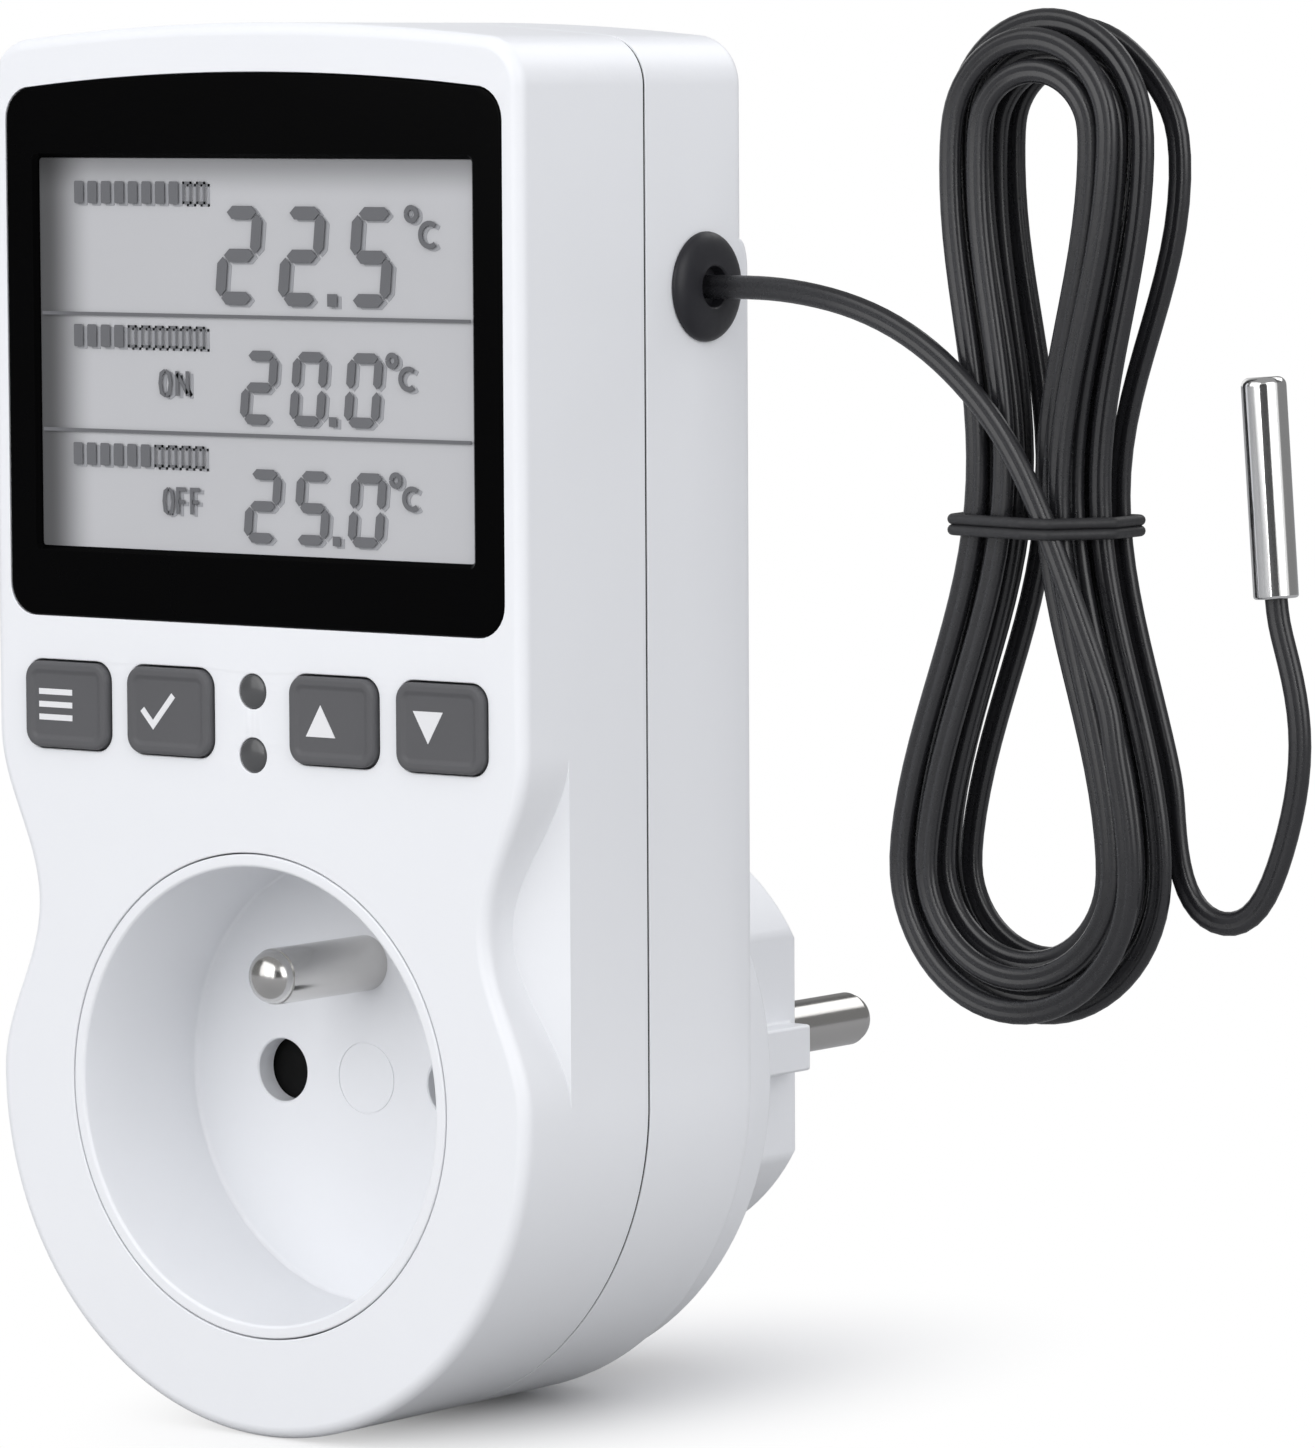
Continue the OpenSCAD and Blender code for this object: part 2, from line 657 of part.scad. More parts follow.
module live_feed() {
    high = -pin_pitch / 2 + strip_w / 2;
    low = high - lead_w;
    rise = power_bottom + 4 * sheet;
    front = power_front - 4 * sheet;
    color("goldenrod") {
        pin_foot(-1);
        plate(foot_depth, foot_depth + sheet, [low, strip_w / 2 - fit], [high, feed_z]);
        plate(front, foot_depth + sheet, [low, feed_z - sheet], [high, feed_z]);
        plate(front, front + sheet, [low, feed_z - sheet], [high, rise]);
        plate(front, power_front, [low, rise - sheet], [high, rise]);
    }
}

module neutral_contact() {
    x = pin_pitch / 2;
    outer = x + foot_reach;
    color("goldenrod") {
        tulip(x);
        plate(tulip_back - sheet, tulip_back, [x, -strip_w / 2], [outer, strip_w / 2]);
        pin_foot(1);
        plate(tulip_back - sheet, foot_depth + sheet, [outer - sheet, -strip_w / 2], [outer, strip_w / 2]);
    }
}

module earth_bar() {
    top = floor_back + rivet_h;
    tail = face_depth - clip_len;
    color("goldenrod") {
        plate(top, top + sheet, [-bar_w / 2, earth_z - bar_w / 2], [bar_w / 2, bar_z + sheet]);
        plate(top, tail, [-bar_w / 2, bar_z], [bar_w / 2, bar_z + sheet]);
        plate(tail - sheet, tail, [-bar_w / 2, -bar_z - sheet], [bar_w / 2, bar_z + sheet]);
    }
}

module earth_sleeve() {
    tail = face_depth - clip_len;
    color("goldenrod") difference() {
        disc(tail, face_depth - plug_face, sleeve_r, [0, earth_z]);
        disc(tail + fit, face_depth - plug_face + over, hole_d / 2 + fit, [0, earth_z]);
    }
}

// Two bowed strips in the grooves above and below the plug, which go in through a slot to the earth bar.
module earth_clips() {
    tail = face_depth - clip_len;
    steps = 12;
    thick = sheet * 0.7;
    bow = [for (i = [0:steps]) [tail + clip_len * 0.92 * i / steps, clip_base + clip_bow * sin(180 * i / steps)]];
    profile = concat([[tail - sheet, bar_z + sheet], [tail - sheet, clip_base + thick]],
        [for (p = bow) p + [0, thick]],
        [for (i = [steps:-1:0]) bow[i]],
        [[tail, bar_z + sheet]]);
    color("gold") for (turn = [0, 180])
        rotate([0, turn, 0]) translate([clip_w / 2, y_front, 0]) rotate([90, 0, -90])
            linear_extrude(clip_w) polygon([for (p = profile) [-p.x, p.y]]);
}

module plug_pin(x) {
    color("silver") {
        round_pin(face_depth, face_depth + pin_len, pin_d / 2, [x, 0], false);
        disc(face_depth - plug_face, face_depth + fit, pin_root_r, [x, 0]);
        disc(face_depth - plug_face - pin_root, face_depth - plug_face, pin_flange_r, [x, 0]);
        disc(foot_depth - pin_root, face_depth - plug_face - pin_root + fit, pin_d / 4, [x, 0]);
    }
}

module plug_pin_live() {
    plug_pin(-pin_pitch / 2);
}

module plug_pin_neutral() {
    plug_pin(pin_pitch / 2);
}

module window_frame() {
    color([0.05, 0.05, 0.06]) difference() {
        slab(0, window_t) window_shape(fit);
        plate(-over, window_t + over, [-view_w / 2, view_bottom], [view_w / 2, view_top]);
    }
}

module lcd_panel() {
    color([0.72, 0.74, 0.74]) plate(glass_depth, glass_depth + glass_t, [-glass_w / 2, view_bottom - glass_edge],
        [glass_w / 2, view_top + glass_edge]);
}

module backlight() {
    color("ivory") plate(backlight_depth, backlight_depth + backlight_t,
        [-view_w / 2, view_bottom + gap], [view_w / 2, view_top - gap]);
}

module contact_strips() {
    for (z = [view_bottom - glass_edge + gap, view_top + glass_edge - gap - strip_t])
        color("lightsteelblue") plate(backlight_depth, board_depth, [-view_w / 2, z], [view_w / 2, z + strip_t]);
}

module display_board() {
    color("darkgreen") slab(board_depth, board_back) difference() {
        union() {
            translate([-board_w / 2, board_bottom]) square([board_w, board_top - board_bottom]);
            translate([-tab_w / 2, board_top - fit]) square([tab_w, tab_top - board_top]);
        }
        for (p = front_post_places) translate(p) circle(small_screw_r + fit);
    }
}

// A button: cap, flange behind the face, and a stem that reaches into its switch.
module button(x) {
    seat = face_wall + gap;
    color([0.36, 0.37, 0.38]) {
        slab(-button_proud, seat + fit) translate([x, button_z]) rounded(button_w, button_h, button_r);
        slab(seat, seat + flange_t) translate([x, button_z])
            square([button_w, button_h + 2 * flange_reach], center = true);
        disc(seat + flange_t - fit, board_depth - switch_h + stem_reach, stem_r, [x, button_z]);
    }
}

module set_button() {
    button(-button_inner);
}

module mode_button() {
    button(-button_outer);
}

module up_button() {
    button(button_inner);
}

module down_button() {
    button(button_outer);
}

module button_switches() {
    color([0.15, 0.15, 0.16]) for (x = [-button_outer, -button_inner, button_inner, button_outer]) difference() {
        slab(board_depth - switch_h, board_depth) translate([x, button_z])
            square([switch_w, switch_w], center = true);
        disc(board_depth - switch_h - over, board_depth - switch_h + switch_well_d, switch_well_r, [x, button_z]);
    }
}

module lamp_lens(z) {
    seat = face_wall;
    color([0.5, 0.5, 0.5]) {
        disc(-lens_proud, board_depth - led_h - gap, lens_d / 2, [0, z]);
        disc(seat, seat + sheet, lens_d / 2 + lens_flange, [0, z]);
    }
}

module upper_lamp_lens() {
    lamp_lens(lens_z[0]);
}

module lower_lamp_lens() {
    lamp_lens(lens_z[1]);
}

module lamp_leds() {
    color("ivory") for (z = lens_z) {
        disc(board_depth - led_h, board_depth, led_r, [0, z]);
        disc(board_depth - sheet, board_depth, led_r + gap, [0, z]);
    }
}

// A chip with its legs, on the back of the display board.
chip_w = 10;
chip_t = 1.6;
chip_z = (view_top + view_bottom) / 2;
leg_count = 8;
leg_w = 0.4;
leg_len = 1;
module control_chip() {
    pitch = chip_w / (leg_count + 1);
    color([0.12, 0.12, 0.13]) plate(board_back + gap / 2, board_back + chip_t, [-chip_w / 2, chip_z - chip_w / 2],
        [chip_w / 2, chip_z + chip_w / 2]);
    color("silver") for (turn = [0:90:270], i = [1:leg_count]) slab(board_back, board_back + chip_t / 2)
        translate([0, chip_z]) rotate(turn) translate([chip_w / 2 - fit, i * pitch - chip_w / 2 - leg_w / 2])
            square([leg_len, leg_w]);
}

// Small chips, a quartz can and a row of resistors on the back of the display board.
part_w = 2;
part_h = 1.25;
part_t = 0.6;
module display_parts() {
    color("saddlebrown") for (side = [-1, 1], row = [-2:2]) plate(board_back, board_back + part_t,
        [side * chip_w * 1.4 - part_w / 2, chip_z + row * part_w * 2],
        [side * chip_w * 1.4 + part_w / 2, chip_z + row * part_w * 2 + part_h]);
    color("silver") slab(board_back, board_back + chip_t * 1.5) translate([0, chip_z - chip_w * 1.1])
        rounded(chip_w, chip_w / 3, chip_w / 6.5);
}

module power_board() {
    color("darkolivegreen") slab(power_front, power_back) difference() {
        translate([-power_w / 2, power_bottom]) square([power_w, power_top - power_bottom]);
        for (p = rear_post_places) translate(p) circle(small_screw_r + fit);
    }
}

relay_w = 28;
relay_h = 12.6;
relay_t = 13;
relay_x = -3;
relay_z = power_bottom + 5;
module relay() {
    color([0.1, 0.1, 0.11]) difference() {
        plate(power_front - relay_t, power_front, [relay_x - relay_w / 2, relay_z],
            [relay_x + relay_w / 2, relay_z + relay_h]);
        disc(power_front - relay_t - over, power_front - relay_t + gap, sheet, [relay_x + relay_w / 2 - 2 * sheet,
            relay_z + 2 * sheet]);
    }
}

box_w = 18;
box_h = 8.5;
box_t = 12.5;
module dropper_capacitor() {
    color([0.75, 0.15, 0.12]) slab(power_front - box_t, power_front)
        translate([-power_w / 2 + box_w / 2 + 2 * gap, relay_z + relay_h + box_h]) rounded(box_w, box_h, sheet);
}

can_r = 5;
can_len = 11.5;
can_x = 4;
can_z = relay_z + relay_h + can_r + 4 * sheet;
module smoothing_capacitor() {
    color([0.1, 0.12, 0.25]) difference() {
        disc(power_front - can_len, power_front, can_r, [can_x, can_z]);
        for (turn = [0, 60, 120]) slab(power_front - can_len - over, power_front - can_len + gap)
            translate([can_x, can_z]) rotate(turn) square([can_r * 1.2, gap], center = true);
    }
}

disc_r = 5;
disc_t = 4;
module varistor() {
    z = can_z + can_r + disc_t;
    color("royalblue") {
        translate([can_x, y_front + power_front - disc_r - 2 * sheet, z]) cylinder(r = disc_r, h = disc_t, center = true);
        for (s = [-1, 1]) disc(power_front - disc_r, power_front, leg_w, [can_x + s * disc_r / 2, z]);
    }
}

fuse_r = 2;
fuse_len = 9;
module fuse() {
    x = can_x - can_r - fuse_len;
    z = can_z + can_r + disc_t;
    color("tan") {
        translate([x, y_front + power_front - fuse_r - gap, z]) rotate([0, 90, 0])
            cylinder(r = fuse_r, h = fuse_len, center = true);
        for (s = [-1, 1]) disc(power_front - fuse_r, power_front, leg_w, [x + s * (fuse_len / 2 - 2 * leg_w), z]);
    }
}

diode_r = 1.3;
diode_len = 4.5;
module rectifier_diodes() {
    color([0.14, 0.14, 0.15]) for (i = [0:3]) {
        place = [can_x + can_r + diode_len, can_z + (i - 1.5) * 4 * diode_r / 1.3];
        translate([place.x, y_front + power_front - diode_r - gap, place.y]) rotate([0, 90, 0])
            cylinder(r = diode_r, h = diode_len, center = true);
        for (s = [-1, 1]) disc(power_front - diode_r, power_front, leg_w,
            [place.x + s * (diode_len / 2 - 2 * leg_w), place.y]);
    }
}

// A row of square posts that joins the two boards.
link_pins = 6;
link_pitch = 2.54;
link_pin_w = 0.64;
link_z = power_top - 4 * post_r;
module board_link() {
    low = -link_pins * link_pitch / 2;
    color([0.12, 0.12, 0.13]) plate(power_front - link_pitch, power_front, [low, link_z - link_pitch / 2],
        [-low, link_z + link_pitch / 2]);
    color("gold") for (i = [0:link_pins - 1]) {
        x = low + (i + 0.5) * link_pitch;
        plate(board_back, power_front - link_pitch + fit, [x - link_pin_w / 2, link_z - link_pin_w / 2],
            [x + link_pin_w / 2, link_z + link_pin_w / 2]);
    }
}

// The socket that the sensor's cable plugs into, beside the grommet.
plug_in_w = 6;
plug_in_h = 7.5;
plug_in_t = 5;
sensor_face_x = power_w / 2 - 3 * sheet;
module sensor_socket() {
    color("ivory") difference() {
        plate(power_front - plug_in_t, power_front, [sensor_face_x - plug_in_w, grommet_z - plug_in_h / 2],
            [sensor_face_x, grommet_z + plug_in_h / 2]);
        for (s = [-1, 1]) disc(power_front - plug_in_t - over, power_front - plug_in_t + sheet, leg_w * 2,
            [sensor_face_x - plug_in_w / 2, grommet_z + s * plug_in_h / 4]);
    }
}

// Tube along a route in X and Z at one Y, as wide as the cable in that plane and as thick across it.
function tube_faces(rings, sides) = concat(
    [for (r = [0:rings - 2], i = [0:sides - 1]) let (j = (i + 1) % sides)
        [r * sides + i, (r + 1) * sides + j, r * sides + j]],
    [for (r = [0:rings - 2], i = [0:sides - 1]) let (j = (i + 1) % sides)
        [r * sides + i, (r + 1) * sides + i, (r + 1) * sides + j]],
    [for (i = [1:sides - 2]) [0, i, i + 1]],
    [for (i = [1:sides - 2]) let (b = (rings - 1) * sides) [b, b + i + 1, b + i]]);
function flat_ring(path, i, w, t, sides) =
    let (last = len(path) - 1, step = path[min(i + 1, last)] - path[max(i - 1, 0)],
        ahead = unit([step.x, 0, step.z]), side = [-ahead.z, 0, ahead.x])
    [for (k = [0:sides - 1]) let (a = 360 * (k + 0.5) / sides)
        path[i] + w / 2 * cos(a) * side - t / 2 * sin(a) * [0, 1, 0]];
module cable(path, w, t, sides) {
    points = [for (i = [0:len(path) - 1]) each flat_ring(path, i, w, t, sides)];
    polyhedron(points, tube_faces(len(path), sides));
}
function in_plane(route, y) = [for (p = route) [p.x, y, p.y]];

// A supply wire from the neutral strip to the power board. Its route holds X, depth and Z.
wire_d = 1.6;
wire_start = pin_pitch / 2 + foot_reach - sheet;
wire_route = [[11.6, 45, 0], [10.8, 44.6, 0.8], [10.3, 43, 2.6], [10.2, 40, 5.2], [10.2, 36, 8], [10.2, 31, 9.6],
    [10.2, 27, 11], [10.2, 24.4, 13], [10.2, 22.8, 16], [10.2, 22.2, 19.5], [10.2, 22.6, 22.2], [10.2, 23.4, 23.4]];
module neutral_wire() {
    first = wire_route[0];
    last = wire_route[len(wire_route) - 1];
    route = [for (p = concat([[wire_start, first.y, first.z]], wire_route, [[last.x, power_front, last.z]]))
        [p.x, y_front + p.y, p.z]];
    points = [for (i = [0:len(route) - 1]) let (end = len(route) - 1,
        ahead = i == 0 ? [-1, 0, 0] : i == end ? [0, 1, 0] : unit(route[i + 1] - route[i - 1]),
        side = unit(cross(ahead, [1, 0, 1])), up = cross(side, ahead))
        for (k = [0:tube_sides - 1]) let (a = 360 * k / tube_sides)
            route[i] + wire_d / 2 * (cos(a) * side - sin(a) * up)];
    color("steelblue") polyhedron(points, tube_faces(len(route), tube_sides));
}

module board_screws() {
    color("silver") {
        for (p = front_post_places) screw(board_back, small_screw_len, small_screw_r, small_head_r, small_head_h, p);
        for (p = rear_post_places) translate([0, 2 * (y_front + power_front), 0]) mirror([0, 1, 0])
            screw(power_front, power_gap + power_t, small_screw_r, small_head_r, small_head_h, p);
    }
}

module case_screws() {
    color("silver") for (p = case_screw_places)
        screw(screw_seat(p), screw_seat(p) - screw_tip - gap, screw_r, screw_head_r, screw_head_h, p);
}

// A domed rubber grommet in the side wall, with a hole for the cable.
module cord_grommet() {
    side = body_w / 2;
    steps = 6;
    profile = concat(
        [[0, -wall - grommet_inner_t], [grommet_inner_r, -wall - grommet_inner_t], [grommet_inner_r, -wall],
            [grommet_neck_r, -wall], [grommet_neck_r, 0]],
        [for (i = [0:steps]) let (a = 90 * i / steps) [grommet_d / 2 - (grommet_d / 2 - cable_w) * (1 - cos(a)),
            grommet_dome * sin(a)]],
        [[0, grommet_dome]]);
    color([0.17, 0.17, 0.19]) difference() {
        translate([side, y_grommet, grommet_z]) rotate([0, 90, 0]) rotate_extrude() polygon(profile);
        translate([0, y_grommet, grommet_z]) rotate([0, 90, 0]) cylinder(r = cable_hole_r, h = body_w);
    }
}

// The cable inside the casing, from the sensor's socket to the top of the grommet.
module inner_lead() {
    y_socket = y_front + power_front - plug_in_t / 2;
    color([0.15, 0.15, 0.16]) cable([[sensor_face_x, y_socket, grommet_z], [sensor_face_x + cable_w, y_socket, grommet_z],
        [cavity_half - cable_w, y_grommet, grommet_z], [lead_start_x, y_grommet, grommet_z]],
        cable_w, cable_t, tube_sides);
}

// Place on the hank after a number of turns counted from the top, inset from the outermost track.
hank_upper_z = hank_top_z - hank_top_r;
hank_lower_z = hank_low_z + hank_low_r;
function track(turn, inset) =
    let (u = turn - floor(turn), rt = hank_top_r - inset, rl = hank_low_r - inset,
        right_share = (u - 0.125) * 4, left_share = (u - 0.625) * 4, top_a = 90 - 720 * (u > 0.5 ? u - 1 : u),
        low_a = -720 * (u - 0.375))
    u < 0.125 || u > 0.875 ? [hank_top_x + rt * cos(top_a), hank_upper_z + rt * sin(top_a)] :
    u <= 0.375 ? [lerp(hank_top_x + rt, hank_low_x + rl, right_share) - hank_pull * pow(sin(180 * right_share), 2),
        lerp(hank_upper_z, hank_lower_z, right_share)] :
    u < 0.625 ? [hank_low_x + rl * cos(low_a), hank_lower_z + rl * sin(low_a)] :
    [lerp(hank_low_x - rl, hank_top_x - rt, left_share) + hank_pull * pow(sin(180 * left_share), 2),
        lerp(hank_lower_z, hank_upper_z, left_share)];

// Inset and layer after t turns of cable: in, climb, out, climb, in, climb, out.
period = layer_turns + climb_turns;
function leg(t) = min(3, floor(t / period));
function leg_turns(t) = min(layer_turns, t - leg(t) * period);
function hank_inset(t) = hank_pitch * (leg(t) % 2 == 0 ? leg_turns(t) : layer_turns - leg_turns(t));
function climb(t) = max(0, t - leg(t) * period - layer_turns) / climb_turns;
function settle(t) = t < settle_turns ? t / settle_turns : 1;
function hank_layer(t) = settle(t) + leg(t) + (leg(t) < 3 ? climb(t) : 0);
function bulge(t) = let (s = (hank_start_turn + t - bulge_turn) / bulge_turns)
    abs(s) < 1 ? hank_bulge * pow(cos(90 * s), 2) : 0;
function hank_point(t) = let (p = track(hank_start_turn + t, hank_inset(t)))
    [p.x + bulge(t), y_grommet + layer_pitch * hank_layer(t), p.y];
hank_steps = hank_loops * hank_rings;
hank_path = [for (i = [0:hank_steps]) hank_point(i / hank_rings)];

// The lead ends in line with the hank's first stretch, the tail starts in line with its last.
hank_first = [hank_path[0].x, hank_path[0].z];
hank_second = [hank_path[1].x, hank_path[1].z];
hank_last = [hank_path[hank_steps].x, hank_path[hank_steps].z];
hank_before = [hank_path[hank_steps - 1].x, hank_path[hank_steps - 1].z];
lead_path = in_plane(concat([[lead_start_x, grommet_z]], lead_route,
    [hank_first - cable_w * unit(hank_second - hank_first), hank_first]), y_grommet);
y_tail = hank_path[hank_steps].y;
tail_path = in_plane(concat([hank_last, hank_last + cable_w * unit(hank_last - hank_before)], tail_route,
    [probe_mouth - cable_w * unit(probe_tip - probe_mouth), probe_mouth]), y_tail);

// Least gap between stretches of the hank that lie at least half a loop apart, on the points of its surface.
near = 2 * hank_pitch;
function hank_gap() = min([for (i = [0:hank_steps], j = [i + hank_rings / 2:1:hank_steps])
    if (norm(hank_path[i] - hank_path[j]) < near)
        let (a = flat_ring(hank_path, i, cable_w, cable_t, hank_sides),
            b = flat_ring(hank_path, j, cable_w, cable_t, hank_sides))
        min([for (p = a, q = b) norm(p - q)])]);

module sensor_lead() {
    color([0.15, 0.15, 0.16]) cable(lead_path, cable_w, cable_t, tube_sides);
}

module sensor_hank() {
    echo(hank_least_gap = hank_gap());
    color([0.15, 0.15, 0.16]) cable(hank_path, cable_w, cable_t, hank_sides);
}

module sensor_tail() {
    color([0.15, 0.15, 0.16]) cable(tail_path, cable_w, cable_t, tube_sides);
}

// A flat band round all runs of the hank. Its front corners are wider, because only the lead lies that far forward.
module hank_tie() {
    z = (hank_upper_z + hank_lower_z) / 2 - tie_drop;
    crossings = [for (i = [0:hank_steps * 20]) let (p = hank_point(i / hank_rings / 20))
        if (abs(p.z - z) < tie_w / 2) p.x];
    middle = (min(crossings) + max(crossings)) / 2;
    half = (max(crossings) - min(crossings)) / 2 + cable_w / 2 + tie_gap;
    near_y = y_grommet - cable_t / 2 - tie_gap;
    far_y = y_grommet + 4 * layer_pitch + cable_t / 2 + tie_gap;
    echo(tie_middle = middle, tie_half = half, tie_z = z);

    module outline(grow) {
        hull() for (s = [-1, 1]) {
            translate([s * (half - tie_front_r), near_y + tie_front_r]) circle(r = tie_front_r + grow);
            translate([s * (half - tie_back_r), far_y - tie_back_r]) circle(r = tie_back_r + grow);
        }
    }

    color([0.1, 0.1, 0.1]) translate([middle, 0, z - tie_w / 2]) linear_extrude(tie_w) difference() {
        outline(tie_t);
        outline(0);
    }
}

module sensor_probe() {
    along = unit(probe_tip - probe_mouth);
    r = probe_d / 2;
    color("silver") translate([probe_mouth.x, y_tail, probe_mouth.y]) rotate([0, atan2(along.x, along.y), 0])
        rotate_extrude() polygon(concat([[0, 0], [r - gap, 0], [r, gap]],
            [for (a = [0:15:90]) [r - tip_r + tip_r * cos(a), probe_len - tip_r + tip_r * sin(a)]], [[0, probe_len]]));
}

front_cover();
rear_cover();
plug_body();
socket_cup();
earth_pin();
shutter();
shutter_spring();
shutter_guide();
guide_screws();
live_contact();
live_feed();
neutral_contact();
earth_bar();
earth_sleeve();
earth_clips();
plug_pin_live();
plug_pin_neutral();
window_frame();
lcd_panel();
backlight();
contact_strips();
display_board();
set_button();
mode_button();
up_button();
down_button();
button_switches();
upper_lamp_lens();
lower_lamp_lens();
lamp_leds();
control_chip();
display_parts();
power_board();
relay();
dropper_capacitor();
smoothing_capacitor();
varistor();
fuse();
rectifier_diodes();
board_link();
sensor_socket();
neutral_wire();
board_screws();
case_screws();
cord_grommet();
inner_lead();
sensor_lead();
sensor_hank();
sensor_tail();
hank_tie();
sensor_probe();
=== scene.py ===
import json
import math

import bmesh
import bpy
import numpy as np
from mathutils import Matrix, Vector, geometry


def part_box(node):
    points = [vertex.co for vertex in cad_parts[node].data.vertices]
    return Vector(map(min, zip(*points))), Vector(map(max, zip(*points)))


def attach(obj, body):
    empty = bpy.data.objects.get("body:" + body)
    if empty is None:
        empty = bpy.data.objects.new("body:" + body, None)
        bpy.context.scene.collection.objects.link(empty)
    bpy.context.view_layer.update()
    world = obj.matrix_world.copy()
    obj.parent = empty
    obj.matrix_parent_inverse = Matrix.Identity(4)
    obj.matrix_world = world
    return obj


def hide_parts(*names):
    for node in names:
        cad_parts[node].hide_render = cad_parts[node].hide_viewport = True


# Looks of the plug-in temperature controller, built around its solids.
# Lengths are in millimetres until a mesh is made. X runs across the casing, Y from its face to the wall, Z up.

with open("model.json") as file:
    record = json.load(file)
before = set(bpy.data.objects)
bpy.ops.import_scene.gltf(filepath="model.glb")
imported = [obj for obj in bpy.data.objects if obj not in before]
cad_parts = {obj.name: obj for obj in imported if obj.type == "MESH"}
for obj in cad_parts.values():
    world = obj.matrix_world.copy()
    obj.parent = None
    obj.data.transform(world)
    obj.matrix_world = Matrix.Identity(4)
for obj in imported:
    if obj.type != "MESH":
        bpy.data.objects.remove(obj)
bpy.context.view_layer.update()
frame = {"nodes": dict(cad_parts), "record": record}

MM = 0.001
CASING = "casing"


def box_mm(node):
    low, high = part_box(node)
    return low / MM, high / MM


# Places taken from the solids
cover_low, cover_high = box_mm("front_cover")
half_w = cover_high.x
body_bottom = cover_low.z
body_top = cover_high.z
y_front = cover_low.y
front_d = cover_high.y - y_front
pad_depth = box_mm("rear_cover")[1].y - y_front
probe_low, probe_high = box_mm("sensor_probe")

# Casing
wall = 2.2
face_wall = 2.6
corner_r = 4.2
arch_h = 1.2
edge_r = 1.1
back_edge_r = 1.4
back_step = 1.1
strip_h = 18.4
strip_round = 2.6
groove_w = 0.28
groove_d = 1.3
seam_r = 0.1
waist_pull = 4.2
waist_len = 30.0
waist_start = 0.2
waist_d = 6.0
waist_flat = 3.6

# Clearance between pieces, and a close fit
gap = 0.3
fit = 0.05

# Socket
cup_r = 20.6
cup_bore_r = 19.5
cup_depth = 14.6
cup_gap = 0.12
cup_floor = 2.0
hole_r = 2.75
pin_pitch = 19.0
earth_r = 2.4
earth_z = 10.0
root_r = earth_r - gap
rivet_r = 3.3
rivet_h = 0.9
plug_face = 3.0
pin_root = 1.0
ring_r = 3.0
ring_w = 0.14
ring_d = 0.08

# Display
window_margin = 1.9
window_drop = 4.1
window_h = 46.5
window_r = 2.8
window_t = 1.6
view_w = 47.8
view_h = 33.3
view_r = 0.3
view_drop = 7.2
window_top = body_top - window_drop
window_bottom = window_top - window_h
view_top = window_top - view_drop
view_bottom = view_top - view_h
view_middle = (0, (view_top + view_bottom) / 2)

# Buttons and indicators
button_w = 9.3
button_h = 7.4
button_r = 1.5
button_proud = 0.6
button_drop = 7.6
button_z = window_bottom - button_drop
button_x = {"mode_button": -20.65, "set_button": -9.05, "up_button": 9.05, "down_button": 20.65}
lens_r = 1.45
lens_z = {"upper_lamp_lens": window_bottom - 5.5, "lower_lamp_lens": window_bottom - 10.9}

# Rear cover
plug_spigot_r = 19.5
upper_screw = (21.3, 84.7)
screw_head_seat = 22.0
screw_head_hole_r = 2.9
screw_hole_r = 1.65
upper_boss_r = 3.9
inner_back = pad_depth - wall - back_step

# Sensor's cable
cable_w = 2.0
cable_t = 1.2
grommet_depth = 24.8
y_grommet = y_front + grommet_depth
grommet_z = 68.2
grommet_r = 4.65
grommet_dome = 1.2
lead_start_x = half_w + grommet_dome
hank_pitch = 2.7
layer_pitch = 1.85


def between(low, high, share):
    return low + (high - low) * share


def arc(count, start, end):
    """Angles in radians, in equal steps between two angles in degrees."""
    return [math.radians(between(start, end, i / count)) for i in range(count + 1)]


# Outlines in X and Z, each as a list of points

ARC_STEPS = 96
WAIST_STEPS = 60
CORNER_STEPS = 14
ARCH_STEPS = 28
WINDOW_CORNER_STEPS = 8
WINDOW_ARCH_STEPS = 32
CUP_STEPS = 160
HOLE_STEPS = 48
LENS_STEPS = 40
SAME_PLACE = 1e-7


def bump(z):
    """How far the waist is drawn in at a height, as a share of its deepest place."""
    share = (z - waist_start) / waist_len - 0.5
    return math.cos(math.pi * share) ** 2 if abs(share) < 0.5 else 0.0


def arc_points(centre, r, start, end, steps):
    """Points of a circle round a centre, between two angles in degrees."""
    return [(centre[0] + r * math.cos(a), centre[1] + r * math.sin(a)) for a in arc(steps, start, end)]


def arch(half, z, steps):
    """The shallow arch of a top edge from right to left, without its ends."""
    shares = [1 - 2 * i / steps for i in range(1, steps)]
    return [(share * half, z + arch_h * (1 - share * share)) for share in shares]


def casing_outline(inset, pull=0.0, cuts=()):
    """Outline of the casing, inset from its full size. Cuts are further heights on the straight sides."""
    half = half_w - inset
    r = max(corner_r - inset, fit)
    z_corner = body_top - inset - arch_h - r
    bottom = arc_points((0, 0), half, 180, 360, ARC_STEPS)
    side = []
    for i in range(WAIST_STEPS + 1):
        z = waist_start + waist_len * i / WAIST_STEPS
        side.append((half - pull * bump(z), z))
    side += [(half, z) for z in cuts]
    side += arc_points((half - r, z_corner), r, 0, 90, CORNER_STEPS)
    return bottom + side + arch(half - r, z_corner + r, ARCH_STEPS) + [(-x, z) for x, z in reversed(side)]


def circle_outline(r, centre=(0, 0), count=64):
    return arc_points(centre, r, 0, 360, count)[:-1]


def rounded_outline(w, h, r, centre=(0, 0), steps=8):
    points = []
    for k, (side, rise) in enumerate([(1, 1), (-1, 1), (-1, -1), (1, -1)]):
        corner = centre[0] + side * (w / 2 - r), centre[1] + rise * (h / 2 - r)
        points += arc_points(corner, r, 90 * k, 90 * k + 90, steps)
    return points


